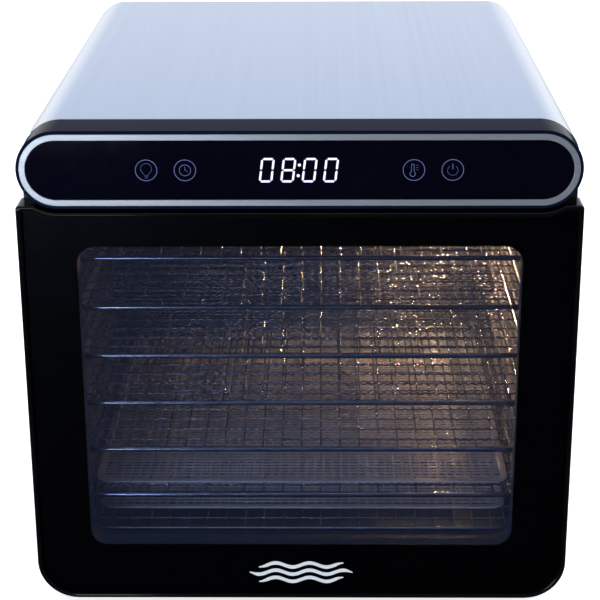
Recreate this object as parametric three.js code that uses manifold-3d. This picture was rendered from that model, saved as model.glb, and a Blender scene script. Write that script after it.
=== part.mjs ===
// Box food dehydrator with seven wire racks behind a side-hinged glazed door.
// Millimetres. Origin at the middle of the footprint, on the surface the feet stand on.
// +X is to the right seen from the front, +Y goes to the back, +Z is up.

import * as THREE from 'three';
import { mergeVertices } from 'three/addons/utils/BufferGeometryUtils.js';
import Module from 'manifold-3d';

const wasm = await Module();
wasm.setup();

// ---------- driving dimensions ----------

const WIDTH = 343;
const DEPTH = 451;
const HEIGHT = 320;
const HALF = WIDTH / 2;
const FRONT = -DEPTH / 2;
const BACK = DEPTH / 2;
const GAP = 0.3; // clearance between pieces that touch

// Control bar: a stadium that runs across the top of the front.
const BAR_RADIUS = 24.1;
const BAR_HALF = 169.8;
const BAR_Z = HEIGHT - BAR_RADIUS;
const BAR_DEPTH = 31;
const BAR_CENTRE_X = BAR_HALF - BAR_RADIUS;

// Sheet-steel case behind the bar and the door.
const CASE_FRONT = FRONT + BAR_DEPTH;
const CASE_BACK = BACK - 19.5;
const CASE_TOP = 317.2;
const CASE_BOTTOM = 12;
const CASE_CORNER = 21.9;
const SHEET = 0.7;

// Door, in front of the case and under the bar.
const DOOR_BOTTOM = 5;
const DOOR_SHOULDER = 273.6; // height of the door's two top corners
const DOOR_REVEAL = 2.5; // gap between the door's top edge and the bar
const DOOR_CORNER = 26;
const DOOR_SPLIT = FRONT + 19.5; // where the front moulding meets the rear one
const DOOR_BACK = FRONT + 26;
const GLASS_THICK = 3.7;
const GLASS_INSET = 3;
const WINDOW_HALF = 137;
const WINDOW_BOTTOM = 42;
const WINDOW_TOP = 247.5;
const WINDOW_CORNER = 12;

// Drying cavity.
const CAVITY_HALF = 152;
const CAVITY_BOTTOM = 21.5;
const CAVITY_TOP = 257.5;
const CAVITY_BACK = 150;
const FRAME_DEPTH = 10;
const FRAME_BACK = CASE_FRONT + FRAME_DEPTH;
const MOUTH_HALF = 150.5;
const MOUTH_TOP = 256;
const LINER_CORNER = 6;

// Racks.
const RACK_COUNT = 7;
const RACK_TOP_Z = 226.4; // middle of the top rack's rail
const RACK_PITCH = 33.3;
const LOWEST_RACK_Z = 34.4;
const RACK_HALF = 147;
const RACK_FRONT = FRONT + 39.5;
const RACK_BACK = 130;
const RAIL = 4;
const WIRE = 2;
const WIRE_PITCH = 42;
const LONG_WIRES = 6;
const RACK_CORNER = 8;
const TRAY_HALF = 144;

// Door hinge line, at the left, behind the front moulding.
const HINGE_X = -168.5;
const HINGE_Y = -200;

// Fan and heater behind the slotted rear wall, and the cover over the motor.
const FAN_Z = 142;
const FAN_RADIUS = 62;
const HUB_RADIUS = 15;
const HUB_FRONT = 174;
const HUB_BACK = 190;
const SHAFT_RADIUS = 2.5;
const MOTOR_RADIUS = 28;
const HEATER_RADIUS = 84;
const REAR_PANEL_FRONT = CASE_BACK - 1.3;
const COVER_HALF_WIDE = 105;
const COVER_HALF_HIGH = 95;
const COVER_WALL = 2;
const COVER_CORNER = 24;
const BOSS_X = 94;
const BOSS_Z = 84;

// Lamp at the upper right of the cavity's rear wall, and the cord inlet low on the back.
const LAMP_X = 112;
const LAMP_Z = 240;
const INLET_X = 130;
const INLET_Z = 45;
const INLET_RADIUS = 8.6;

// ---------- finishes ----------

const finish = (color, roughness, metalness = 0) =>
  new THREE.MeshStandardMaterial({ color, roughness, metalness });

const STEEL = finish(0xc9d2e0, 0.35, 0.9);
const SILVER = finish(0xb4bac6, 0.3, 0.8);
const BLACK_GLOSS = finish(0x0a0a0f, 0.12);
const BLACK_SATIN = finish(0x14151c, 0.45);
const GLASS = new THREE.MeshStandardMaterial({
  color: 0x20242e, roughness: 0.05, transparent: true, opacity: 0.4,
});
const WIRE_CHROME = finish(0xaab0bd, 0.25, 1);
const RUBBER = finish(0x18181a, 0.85);
const ZINC = finish(0x9a9da2, 0.45, 0.9);
const BOARD = finish(0x1f5a3a, 0.6);
const SCREEN = finish(0x2b2e38, 0.6);
const ELEMENT = finish(0x6a5f58, 0.5, 0.7);
const LAMP_GLASS = finish(0xfff1d0, 0.2);

// ---------- shape helpers ----------

const part = new THREE.Group();

/** A closed geometry as a manifold-3d solid. */
function solid(geometry) {
  const plain = geometry.clone();
  plain.deleteAttribute('normal');
  plain.deleteAttribute('uv');
  const merged = mergeVertices(plain, 1e-4);
  return new wasm.Manifold(new wasm.Mesh({
    numProp: 3,
    vertProperties: new Float32Array(merged.attributes.position.array),
    triVerts: new Uint32Array(merged.index.array),
  }));
}

/** Adds a named mesh made from a manifold-3d solid. */
function add(name, body, material) {
  const mesh = body.getMesh();
  const geometry = new THREE.BufferGeometry();
  geometry.setAttribute('position', new THREE.BufferAttribute(mesh.vertProperties, 3));
  geometry.setIndex(new THREE.BufferAttribute(mesh.triVerts, 1));
  geometry.computeVertexNormals();
  const node = new THREE.Mesh(geometry, material);
  node.name = name;
  part.add(node);
}

/** A box given by its low and high corners. */
function box(x0, x1, y0, y1, z0, z1) {
  const geometry = new THREE.BoxGeometry(x1 - x0, y1 - y0, z1 - z0);
  geometry.translate((x0 + x1) / 2, (y0 + y1) / 2, (z0 + z1) / 2);
  return solid(geometry);
}

/** A cylinder along Y between two depths. */
function rodY(x, z, radius, y0, y1, sides = 24) {
  const geometry = new THREE.CylinderGeometry(radius, radius, y1 - y0, sides);
  geometry.translate(x, (y0 + y1) / 2, z);
  return solid(geometry);
}

/** A cylinder, or a cone, along Z between two heights. */
function rodZ(x, y, radius, z0, z1, sides = 16, topRadius = radius) {
  const geometry = new THREE.CylinderGeometry(topRadius, radius, z1 - z0, sides);
  geometry.rotateX(Math.PI / 2);
  geometry.translate(x, y, (z0 + z1) / 2);
  return solid(geometry);
}

/** Extrudes an outline drawn in X and Z from one depth to another. */
function plate(outline, y0, y1, curveSegments = 4) {
  const geometry = new THREE.ExtrudeGeometry(outline, {
    depth: y1 - y0, bevelEnabled: false, curveSegments,
  });
  geometry.rotateX(Math.PI / 2);
  geometry.translate(0, y1, 0);
  return solid(geometry);
}

/** Extrudes an outline drawn in X and Y from one height to another. */
function slab(outline, z0, z1, curveSegments = 3) {
  const geometry = new THREE.ExtrudeGeometry(outline, {
    depth: z1 - z0, bevelEnabled: false, curveSegments,
  });
  geometry.translate(0, 0, z0);
  return solid(geometry);
}

/** A rectangle with rounded corners, between low and high corners. */
function roundedRect(u0, u1, v0, v1, radius) {
  const shape = new THREE.Shape();
  shape.absarc(u1 - radius, v0 + radius, radius, -Math.PI / 2, 0);
  shape.absarc(u1 - radius, v1 - radius, radius, 0, Math.PI / 2);
  shape.absarc(u0 + radius, v1 - radius, radius, Math.PI / 2, Math.PI);
  shape.absarc(u0 + radius, v0 + radius, radius, Math.PI, 1.5 * Math.PI);
  return shape;
}

/** The bar's stadium outline with the given end radius. */
function stadium(radius) {
  const shape = new THREE.Shape();
  shape.absarc(BAR_CENTRE_X, BAR_Z, radius, -Math.PI / 2, Math.PI / 2);
  shape.absarc(-BAR_CENTRE_X, BAR_Z, radius, Math.PI / 2, 1.5 * Math.PI);
  return shape;
}

/** The door's outline, moved in by an inset. Its top edge follows the bar's underside. */
function doorOutline(inset) {
  const half = HALF - inset;
  const bottom = DOOR_BOTTOM + inset;
  const shoulder = DOOR_SHOULDER - inset;
  const corner = DOOR_CORNER - inset;
  const sweep = BAR_RADIUS + DOOR_REVEAL + inset;
  const start = Math.asin((BAR_Z - shoulder) / sweep);
  const tip = DOOR_REVEAL;
  const shape = new THREE.Shape();
  shape.absarc(half - corner, bottom + corner, corner, -Math.PI / 2, 0);
  shape.absarc(half - tip, shoulder - tip, tip, 0, Math.PI / 2);
  shape.absarc(BAR_CENTRE_X, BAR_Z, sweep, -start, -Math.PI / 2, true);
  shape.absarc(-BAR_CENTRE_X, BAR_Z, sweep, -Math.PI / 2, start - Math.PI, true);
  shape.absarc(tip - half, shoulder - tip, tip, Math.PI / 2, Math.PI);
  shape.absarc(corner - half, bottom + corner, corner, Math.PI, 1.5 * Math.PI);
  return shape;
}

/** The door window's outline, moved outwards by a margin. */
function windowOutline(margin = 0) {
  return roundedRect(
    -WINDOW_HALF - margin, WINDOW_HALF + margin,
    WINDOW_BOTTOM - margin, WINDOW_TOP + margin, WINDOW_CORNER + margin,
  );
}

/** The outline of a sheet that closes the case's front or back, just inside the casing. */
function insideCase() {
  const wall = SHEET + GAP;
  return roundedRect(
    wall - HALF, HALF - wall, CASE_BOTTOM + wall, CASE_TOP - wall, CASE_CORNER - wall,
  );
}

/** The cavity's outline, moved outwards by a margin. */
function cavityOutline(margin = 0) {
  return roundedRect(
    -CAVITY_HALF - margin, CAVITY_HALF + margin,
    CAVITY_BOTTOM - margin, CAVITY_TOP + margin, LINER_CORNER + margin,
  );
}

// ---------- case ----------

/** Bent sheet round the top and both sides, with flanges turned in under the case. */
function addOuterCasing() {
  const outer = roundedRect(-HALF, HALF, CASE_BOTTOM, CASE_TOP, CASE_CORNER);
  const inner = roundedRect(
    SHEET - HALF, HALF - SHEET, CASE_BOTTOM + SHEET, CASE_TOP - SHEET, CASE_CORNER - SHEET,
  );
  const flangeEdge = 118;
  const wrap = plate(outer, CASE_FRONT, CASE_BACK)
    .subtract(plate(inner, CASE_FRONT - 1, CASE_BACK + 1))
    .subtract(box(-flangeEdge, flangeEdge, CASE_FRONT - 1, CASE_BACK + 1, 0, CASE_BOTTOM + 5));
  add('outer_casing', wrap, STEEL);
}

/** Flat floor of the case, with a row of air slots under the fan. */
function addBasePan() {
  const z0 = CASE_BOTTOM + SHEET + GAP;
  const halfWide = 146;
  const slotPitch = 24;
  const slotHalf = 8;
  const slotFront = 165;
  const slotBack = 171;
  let pan = box(-halfWide, halfWide, FRAME_BACK + GAP, REAR_PANEL_FRONT - GAP, z0, z0 + SHEET);
  for (let i = -3; i <= 3; i += 1) {
    const x = i * slotPitch;
    pan = pan.subtract(box(x - slotHalf, x + slotHalf, slotFront, slotBack, 0, z0 + 2));
  }
  add('base_pan', pan, ZINC);
}

/** Moulded frame that closes the front of the case round the cavity's mouth. */
function addFrontFrame() {
  const y0 = CASE_FRONT;
  const wireSlotHalf = 30;
  const wireSlotRadius = 7;
  const mouth = roundedRect(-MOUTH_HALF, MOUTH_HALF, CAVITY_BOTTOM, MOUTH_TOP, LINER_CORNER);
  const wireSlot = roundedRect(
    -wireSlotHalf, wireSlotHalf, BAR_Z - wireSlotRadius, BAR_Z + wireSlotRadius, wireSlotRadius,
  );
  const frame = plate(insideCase(), y0, FRAME_BACK)
    .subtract(plate(mouth, y0 - 1, FRAME_BACK + 1))
    .subtract(plate(wireSlot, y0 - 1, FRAME_BACK + 1));
  add('front_frame', frame, BLACK_SATIN);
}

/** Sheet tunnel that lines the drying cavity. */
function addInnerLiner() {
  const y0 = FRAME_BACK + GAP;
  const liner = plate(cavityOutline(SHEET), y0, CAVITY_BACK, 3)
    .subtract(plate(cavityOutline(), y0 - 1, CAVITY_BACK + 1, 3));
  add('inner_liner', liner, ZINC);
}

/** Slotted wall between the cavity and the fan, with a hole for the lamp's neck. */
function addFanGuard() {
  const y0 = CAVITY_BACK + GAP;
  const y1 = y0 + SHEET;
  const slotSpacing = 90;
  const slotHalfWide = 36;
  const slotHalfHigh = 4;
  const lampHole = 8;
  let guard = plate(cavityOutline(SHEET), y0, y1, 3);
  for (let row = 0; row < RACK_COUNT - 1; row += 1) {
    const z = RACK_TOP_Z - (row + 0.5) * RACK_PITCH;
    for (let column = -1; column <= 1; column += 1) {
      const x = column * slotSpacing;
      guard = guard.subtract(box(
        x - slotHalfWide, x + slotHalfWide, y0 - 1, y1 + 1, z - slotHalfHigh, z + slotHalfHigh,
      ));
    }
  }
  guard = guard.subtract(rodY(LAMP_X, LAMP_Z, lampHole, y0 - 1, y1 + 1));
  add('fan_guard', guard, ZINC);
}

/** Rear sheet of the case: motor hole and two groups of vent slots above the cavity. */
function addRearPanel() {
  const y0 = REAR_PANEL_FRONT;
  const y1 = y0 + SHEET;
  const motorHole = 42;
  const ventCount = 6;
  const ventStart = 58;
  const ventPitch = 12;
  const ventHalf = 2.5;
  const ventBottom = 268;
  const ventTop = 298;
  let panel = plate(insideCase(), y0, y1).subtract(rodY(0, FAN_Z, motorHole, y0 - 1, y1 + 1, 24));
  for (const side of [-1, 1]) {
    for (let i = 0; i < ventCount; i += 1) {
      const x = side * (ventStart + i * ventPitch);
      panel = panel.subtract(box(x - ventHalf, x + ventHalf, y0 - 1, y1 + 1, ventBottom, ventTop));
    }
  }
  panel = panel.subtract(rodY(INLET_X, INLET_Z, INLET_RADIUS + 0.4, y0 - 1, y1 + 1, 20));
  add('rear_panel', panel, STEEL);
}

/** Places of the rear cover's four screw bosses: left low, left high, right low, right high. */
function bossPlaces() {
  return [-1, 1].flatMap((side) => [-1, 1].map((level) => [side * BOSS_X, FAN_Z + level * BOSS_Z]));
}

/** Hollow vented cover over the fan motor at the back. */
function addRearCover() {
  const y0 = CASE_BACK - 0.3;
  const slotCount = 7;
  const slotPitch = 17;
  const slotHalf = 3;
  const ventRadius = 70;
  const bossRadius = 6;
  const screwHole = 3.2;
  const outline = (margin) => roundedRect(
    margin - COVER_HALF_WIDE, COVER_HALF_WIDE - margin,
    FAN_Z - COVER_HALF_HIGH + margin, FAN_Z + COVER_HALF_HIGH - margin, COVER_CORNER - margin,
  );
  let cover = plate(outline(0), y0, BACK, 3)
    .subtract(plate(outline(COVER_WALL), y0 - 1, BACK - COVER_WALL, 3));
  for (let i = 0; i < slotCount; i += 1) {
    const height = (i - (slotCount - 1) / 2) * slotPitch;
    const reach = Math.sqrt(ventRadius ** 2 - height ** 2);
    cover = cover.subtract(box(
      -reach, reach, BACK - COVER_WALL - 1, BACK + 1, FAN_Z + height - slotHalf, FAN_Z + height + slotHalf,
    ));
  }
  for (const [x, z] of bossPlaces()) {
    cover = cover
      .add(rodY(x, z, bossRadius, y0, BACK - COVER_WALL + 0.5, 10))
      .subtract(rodY(x, z, screwHole, BACK - 6, BACK + 1, 8));
  }
  add('rear_cover', cover, BLACK_SATIN);
}

/** Four screws that hold the rear cover, sunk in its bosses. */
function addRearScrews() {
  const names = ['left_lower', 'left_upper', 'right_lower', 'right_upper'];
  const headRadius = 2.6;
  const slotHalfLong = 2;
  const slotHalfWide = 0.4;
  bossPlaces().forEach(([x, z], i) => {
    const screw = rodY(x, z, headRadius, BACK - 5.5, BACK - 1, 10);
    const slot = box(
      x - slotHalfLong, x + slotHalfLong, BACK - 1.8, BACK, z - slotHalfWide, z + slotHalfWide,
    );
    add(`rear_screw_${names[i]}`, screw.subtract(slot), ZINC);
  });
}

/** Four rubber feet under the casing's flanges. */
function addFeet() {
  const footX = 136;
  const bottomRadius = 11;
  const topRadius = 14;
  for (const [depthName, y] of [['front', -160], ['back', 175]]) {
    for (const [sideName, x] of [['left', -footX], ['right', footX]]) {
      const foot = rodZ(x, y, bottomRadius, 0, CASE_BOTTOM - GAP, 20, topRadius);
      add(`foot_${depthName}_${sideName}`, foot, RUBBER);
    }
  }
}

/** Side wall inserts with one ledge for each rack. */
function addRackGuides() {
  const y0 = FRAME_BACK + 2;
  const y1 = CAVITY_BACK - 4;
  const endClear = 8;
  const ledgeInner = 142.5;
  const ledgeThick = 1.2;
  const between = (side, near, far) => [side * near, side * far].sort((a, b) => a - b);
  for (const [name, side] of [['left', -1], ['right', 1]]) {
    const wall = between(side, CAVITY_HALF - 1.3, CAVITY_HALF - GAP);
    const ledge = between(side, ledgeInner, CAVITY_HALF - 1);
    let guide = box(wall[0], wall[1], y0, y1, CAVITY_BOTTOM + endClear, CAVITY_TOP - endClear);
    for (let i = 0; i < RACK_COUNT; i += 1) {
      const top = rackHeight(i) - RAIL / 2 - GAP;
      guide = guide.add(box(ledge[0], ledge[1], y0, y1, top - ledgeThick, top));
    }
    add(`rack_guide_${name}`, guide, ZINC);
  }
}

/** Cord inlet bush low on the back. */
function addCordInlet() {
  const flangeRadius = 13;
  const flangeThick = 6;
  const bore = 4;
  const bush = rodY(INLET_X, INLET_Z, INLET_RADIUS, REAR_PANEL_FRONT - 5, CASE_BACK, 20)
    .add(rodY(INLET_X, INLET_Z, flangeRadius, CASE_BACK - 0.3, CASE_BACK + flangeThick, 20))
    .subtract(rodY(INLET_X, INLET_Z, bore, REAR_PANEL_FRONT - 8, CASE_BACK + flangeThick + 2, 16));
  add('cord_inlet', bush, RUBBER);
}

// ---------- control bar ----------

function addControlBar() {
  const backWall = CASE_FRONT - GAP;
  const wall = 1.8;
  const ringOuter = BAR_RADIUS - 2;
  const ringInner = BAR_RADIUS - 5.7;
  const ringDepth = 5.5;
  const panelFront = FRONT + 0.5;
  const panelBack = FRONT + 3.5;
  const plugHole = 28;
  const housing = plate(stadium(BAR_RADIUS), FRONT, backWall, 14)
    .subtract(plate(stadium(BAR_RADIUS - wall), FRONT - 1, backWall - 2, 12))
    .subtract(box(-plugHole, plugHole, backWall - 3, backWall + 1, BAR_Z - 6, BAR_Z + 6));
  add('control_housing', housing, BLACK_GLOSS);

  const ring = plate(stadium(ringOuter), FRONT, FRONT + ringDepth, 12)
    .subtract(plate(stadium(ringInner), FRONT - 1, FRONT + ringDepth + 1, 12));
  add('trim_ring', ring, SILVER);

  add('touch_panel', plate(stadium(ringInner - GAP), panelFront, panelBack, 12), BLACK_GLOSS);
  addControlElectronics(panelBack + GAP);
}

/** Display module behind the touch panel, and the board that carries its four touch springs. */
function addControlElectronics(y0) {
  const displayHalf = 42;
  const boardHalf = 140;
  const halfHigh = 12;
  const boardFront = FRONT + 12;
  const springRadius = 5;
  const display = box(-displayHalf, displayHalf, y0, FRONT + 11, BAR_Z - halfHigh, BAR_Z + halfHigh);
  add('display_module', display, BLACK_SATIN);

  let board = box(-boardHalf, boardHalf, boardFront, boardFront + 1.6, BAR_Z - halfHigh, BAR_Z + halfHigh);
  for (const x of [-91.5, -68.3, 68.3, 91.5]) {
    board = board.add(rodY(x, BAR_Z, springRadius, y0 + 0.2, boardFront + 0.5, 12));
  }
  const buzzer = rodY(-110, BAR_Z, 6, boardFront + 1, boardFront + 8, 12);
  add('control_board', board.add(buzzer), BOARD);
}

// ---------- door ----------

function addDoor() {
  const shell = 6;
  const seatBack = FRONT + GLASS_THICK + GAP;
  const hollow = plate(doorOutline(shell), FRONT + 8, DOOR_SPLIT + 1, 3)
    .subtract(plate(windowOutline(3), FRONT, DOOR_SPLIT + 2, 3));
  const frame = plate(doorOutline(0), FRONT, DOOR_SPLIT, 5)
    .subtract(plate(doorOutline(GLASS_INSET), FRONT - 1, seatBack, 5))
    .subtract(plate(windowOutline(), FRONT, DOOR_SPLIT + 1, 3))
    .subtract(hollow);
  add('door_frame', frame, BLACK_GLOSS);

  add('door_glass', plate(doorOutline(GLASS_INSET + GAP), FRONT, FRONT + GLASS_THICK, 5), GLASS);

  const rear = plate(doorOutline(shell), DOOR_SPLIT + GAP, DOOR_BACK, 4)
    .subtract(plate(windowOutline(), DOOR_SPLIT, DOOR_BACK + 1, 3));
  add('door_inner_frame', rear, BLACK_SATIN);

  const gasket = plate(gasketOutline(4), DOOR_BACK + GAP, CASE_FRONT - GAP, 4)
    .subtract(plate(gasketOutline(0), DOOR_BACK, CASE_FRONT, 4));
  add('door_gasket', gasket, RUBBER);
}

/** The door gasket's inner edge, moved outwards by a margin. */
function gasketOutline(margin) {
  const half = MOUTH_HALF + 1.3 + margin;
  const low = CAVITY_BOTTOM + 0.5 - margin;
  return roundedRect(-half, half, low, MOUTH_TOP + margin, 8 + margin);
}

/** Two lift-off hinges: a case leaf under a door leaf, on one pin each. */
function addHinges() {
  const knuckle = 2.7;
  const pinRadius = 1.5;
  const leafEdge = -157.2;
  const leafHeight = 14;
  const leafThick = 1.2;
  const leafFront = CASE_FRONT - GAP - leafThick;
  const leafBack = CASE_FRONT - GAP;
  for (const [name, z] of [['lower', 42], ['upper', 214]]) {
    const middle = z + leafHeight;
    const bore = rodZ(HINGE_X, HINGE_Y, pinRadius + 0.1, z - 1, middle + leafHeight + 2, 12);
    const caseLeaf = box(HINGE_X + 3.5, leafEdge, leafFront, leafBack, z, middle)
      .add(box(HINGE_X - 1, HINGE_X + 4, HINGE_Y + 1, leafBack, z, middle))
      .add(rodZ(HINGE_X, HINGE_Y, knuckle, z, middle))
      .subtract(bore);
    add(`hinge_${name}_case_leaf`, caseLeaf, ZINC);

    const doorZ = middle + GAP;
    const top = doorZ + leafHeight;
    const doorLeaf = box(HINGE_X, leafEdge, DOOR_BACK + GAP, DOOR_BACK + GAP + leafThick, doorZ, top)
      .add(rodZ(HINGE_X, HINGE_Y, knuckle, doorZ, top))
      .subtract(bore);
    add(`hinge_${name}_door_leaf`, doorLeaf, ZINC);

    add(`hinge_${name}_pin`, rodZ(HINGE_X, HINGE_Y, pinRadius, z - 0.5, top, 12), STEEL);
  }
}

/** Magnets on the door and the strike plates that they meet on the front frame. */
function addLatch() {
  const magnetLeft = 158;
  const magnetRight = 165;
  const magnetHigh = 22;
  const magnetThick = 2.2;
  const strikeThick = 1.2;
  for (const [name, z] of [['lower', 46], ['upper', 214]]) {
    const y0 = DOOR_BACK + GAP;
    const magnet = box(magnetLeft, magnetRight, y0, y0 + magnetThick, z, z + magnetHigh);
    add(`latch_magnet_${name}`, magnet, ZINC);
    const y1 = CASE_FRONT - GAP;
    const strike = box(
      magnetLeft - 0.5, magnetRight + 0.5, y1 - strikeThick, y1, z - 1, z + magnetHigh + 1,
    );
    add(`latch_strike_${name}`, strike, STEEL);
  }
}

// ---------- racks ----------

/** Height of a rack's middle; the lowest one sits closer to the rack above it. */
function rackHeight(index) {
  return index === RACK_COUNT - 1 ? LOWEST_RACK_Z : RACK_TOP_Z - index * RACK_PITCH;
}

/** Square-section frame with long wires front to back and one cross wire. */
function rackSolid(z) {
  const low = z - RAIL / 2;
  const high = z + RAIL / 2;
  const wireHigh = high - 0.6;
  const wireLow = wireHigh - WIRE;
  const wire = (x0, x1, y0, y1) => box(x0, x1, y0, y1, wireLow, wireHigh);
  let rack = slab(roundedRect(-RACK_HALF, RACK_HALF, RACK_FRONT, RACK_BACK, RACK_CORNER), low, high, 2)
    .subtract(box(
      RAIL - RACK_HALF, RACK_HALF - RAIL, RACK_FRONT + RAIL, RACK_BACK - RAIL, low - 1, high + 1,
    ));
  for (let i = 0; i < LONG_WIRES; i += 1) {
    const x = (i - (LONG_WIRES - 1) / 2) * WIRE_PITCH;
    rack = rack.add(wire(x - WIRE / 2, x + WIRE / 2, RACK_FRONT + RAIL / 2, RACK_BACK - RAIL / 2));
  }
  const middle = (RACK_FRONT + RACK_BACK) / 2;
  const reach = RACK_HALF - RAIL / 2;
  return rack.add(wire(-reach, reach, middle - WIRE / 2, middle + WIRE / 2));
}

function addRacks() {
  for (let i = 0; i < RACK_COUNT; i += 1) {
    add(`rack_${i + 1}`, rackSolid(rackHeight(i)), WIRE_CHROME);
  }
}

/** Two flexible mesh sheets that lie on the two lowest racks. */
function addMeshScreens() {
  const halfWide = 139;
  const length = 280;
  const thick = 1.2;
  const sheets = [[5, 20, 'mesh_screen_upper'], [6, 32, 'mesh_screen_lower']];
  for (const [rack, setback, name] of sheets) {
    const z = rackHeight(rack) + RAIL / 2 + GAP;
    const y0 = RACK_FRONT + RAIL + setback;
    add(name, box(-halfWide, halfWide, y0, y0 + length, z, z + thick), SCREEN);
  }
}

/** Shallow crumb tray on the cavity floor. */
function addDripTray() {
  const z0 = CAVITY_BOTTOM + GAP;
  const rim = 8;
  const wall = 1;
  const outline = (inset) => roundedRect(
    inset - TRAY_HALF, TRAY_HALF - inset, RACK_FRONT + 6 + inset, RACK_BACK - inset, 9 - inset,
  );
  const tray = slab(outline(0), z0, z0 + rim).subtract(slab(outline(wall), z0 + wall, z0 + rim + 1));
  add('drip_tray', tray, ZINC);
}

// ---------- fan, heater, lamp, electronics ----------

function addFan() {
  const bladeCount = 6;
  const bladePitch = 0.6;
  const bladeThick = 1.6;
  const bladeWide = 24;
  const bladeRoot = 10;
  let rotor = rodY(0, FAN_Z, HUB_RADIUS, HUB_FRONT, HUB_BACK, 24);
  for (let i = 0; i < bladeCount; i += 1) {
    const blade = new THREE.BoxGeometry(FAN_RADIUS - bladeRoot, bladeThick, bladeWide);
    blade.rotateX(bladePitch);
    blade.translate((FAN_RADIUS + bladeRoot) / 2, 0, 0);
    blade.rotateY((i * 2 * Math.PI) / bladeCount);
    blade.translate(0, (HUB_FRONT + HUB_BACK) / 2, FAN_Z);
    rotor = rotor.add(solid(blade));
  }
  rotor = rotor.subtract(rodY(0, FAN_Z, SHAFT_RADIUS + GAP, HUB_FRONT + 2, HUB_BACK + 5, 12));
  add('fan_rotor', rotor, BLACK_SATIN);
  add('motor_shaft', rodY(0, FAN_Z, SHAFT_RADIUS, HUB_FRONT + 3, CASE_BACK + 6, 12), STEEL);
}

/** Motor behind the rear panel, on a bracket that spans the panel's motor hole. */
function addMotor() {
  const motorLong = 16;
  const motor = rodY(0, FAN_Z, MOTOR_RADIUS, CASE_BACK, CASE_BACK + motorLong, 28)
    .subtract(rodY(0, FAN_Z, SHAFT_RADIUS + 0.5, CASE_BACK - 1, CASE_BACK + motorLong / 2, 12));
  add('fan_motor', motor, ZINC);

  const y0 = REAR_PANEL_FRONT - 2;
  const halfLong = 62;
  const halfHigh = 12;
  const padHalf = 16;
  const shaftHole = 6;
  const bracket = box(-halfLong, halfLong, y0, y0 + 1.7, FAN_Z - halfHigh, FAN_Z + halfHigh)
    .add(box(-padHalf, padHalf, y0 + 1, CASE_BACK - GAP, FAN_Z - halfHigh, FAN_Z + halfHigh))
    .subtract(rodY(0, FAN_Z, shaftHole, y0 - 1, CASE_BACK + 1, 16));
  add('motor_bracket', bracket, ZINC);
}

/** Open ring heater round the fan, with two legs back towards the rear panel. */
function addHeater() {
  const tubeRadius = 3;
  const y = 166;
  const opening = 0.35;
  const steps = 24;
  const tube = new THREE.Shape();
  tube.absarc(0, 0, tubeRadius, 0, 2 * Math.PI);
  const points = [];
  for (let i = 0; i <= steps; i += 1) {
    const angle = -Math.PI / 2 + opening + (i / steps) * (2 * Math.PI - 2 * opening);
    points.push(new THREE.Vector3(
      HEATER_RADIUS * Math.cos(angle), y, FAN_Z + HEATER_RADIUS * Math.sin(angle),
    ));
  }
  const geometry = new THREE.ExtrudeGeometry(tube, {
    steps: 28, bevelEnabled: false, curveSegments: 3, extrudePath: new THREE.CatmullRomCurve3(points),
  });
  let heater = solid(geometry);
  const legRadius = tubeRadius + 0.4;
  for (const end of [points[0], points[steps]]) {
    heater = heater.add(rodY(end.x, end.z, legRadius, y - legRadius, REAR_PANEL_FRONT - 1, 8));
  }
  add('heating_element', heater, ELEMENT);
}

/** Thermal cut-out above the heater, and the air sensor that looks into the cavity. */
function addSafetyParts() {
  add('thermal_cutout', box(-70, -52, 196, REAR_PANEL_FRONT - GAP, 238, 252), BLACK_SATIN);
  const sensorLong = 14;
  add('temperature_sensor', rodY(-118, 244, 3, CAVITY_BACK - sensorLong, CAVITY_BACK, 12), STEEL);
}

/** Cavity lamp at the upper right of the rear wall: holder, bulb and clear cup. */
function addLamp() {
  const wall = CAVITY_BACK;
  const bulbRadius = 5.5;
  const bulbFront = wall - 9;
  const cupRadius = 13;
  const cupFront = wall - 17.5;
  const cupWall = 1.6;
  add('lamp_holder', rodY(LAMP_X, LAMP_Z, 9.5, wall + 2.2, wall + 18, 16), BLACK_SATIN);
  const tip = new THREE.SphereGeometry(bulbRadius, 14, 8).translate(LAMP_X, bulbFront, LAMP_Z);
  const bulb = rodY(LAMP_X, LAMP_Z, bulbRadius, bulbFront, wall + 1.9, 14).add(solid(tip));
  add('lamp_bulb', bulb, LAMP_GLASS);
  const cup = rodY(LAMP_X, LAMP_Z, cupRadius, cupFront, wall, 20)
    .subtract(rodY(LAMP_X, LAMP_Z, cupRadius - cupWall, cupFront + cupWall, wall + 1, 20));
  add('lamp_lens', cup, GLASS);
}

/** Power board above the cavity, with its transformer, relay and capacitor. */
function addPowerBoard() {
  const z0 = CAVITY_TOP + SHEET + 4;
  const onBoard = z0 + 1;
  const transformer = box(-100, -70, 40, 66, onBoard, z0 + 24);
  const relay = box(-60, -42, 40, 58, onBoard, z0 + 16);
  const capacitor = rodZ(-45, 85, 8, onBoard, z0 + 22, 14);
  const connector = box(-102, -92, 80, 104, onBoard, z0 + 10);
  const board = box(-110, -20, 30, 110, z0, z0 + 1.6)
    .add(transformer)
    .add(relay)
    .add(capacitor)
    .add(connector);
  add('power_board', board, BOARD);
}

addOuterCasing();
addBasePan();
addFrontFrame();
addInnerLiner();
addFanGuard();
addRearPanel();
addRearCover();
addRearScrews();
addFeet();
addRackGuides();
addCordInlet();
addControlBar();
addDoor();
addHinges();
addLatch();
addRacks();
addMeshScreens();
addDripTray();
addFan();
addMotor();
addHeater();
addSafetyParts();
addLamp();
addPowerBoard();

export default part;
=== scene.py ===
"""Looks of a box food dehydrator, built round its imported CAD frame.

Lengths are in millimetres until make_piece() turns them into metres. The frame is the CAD's own:
+X right, +Y back, +Z up, with the origin on the floor at the middle of the footprint.
"""
from math import asin, cos, dist, pi, radians, sin, sqrt, tan

import bmesh
import bpy
import numpy as np
from mathutils import Matrix, Vector


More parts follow.
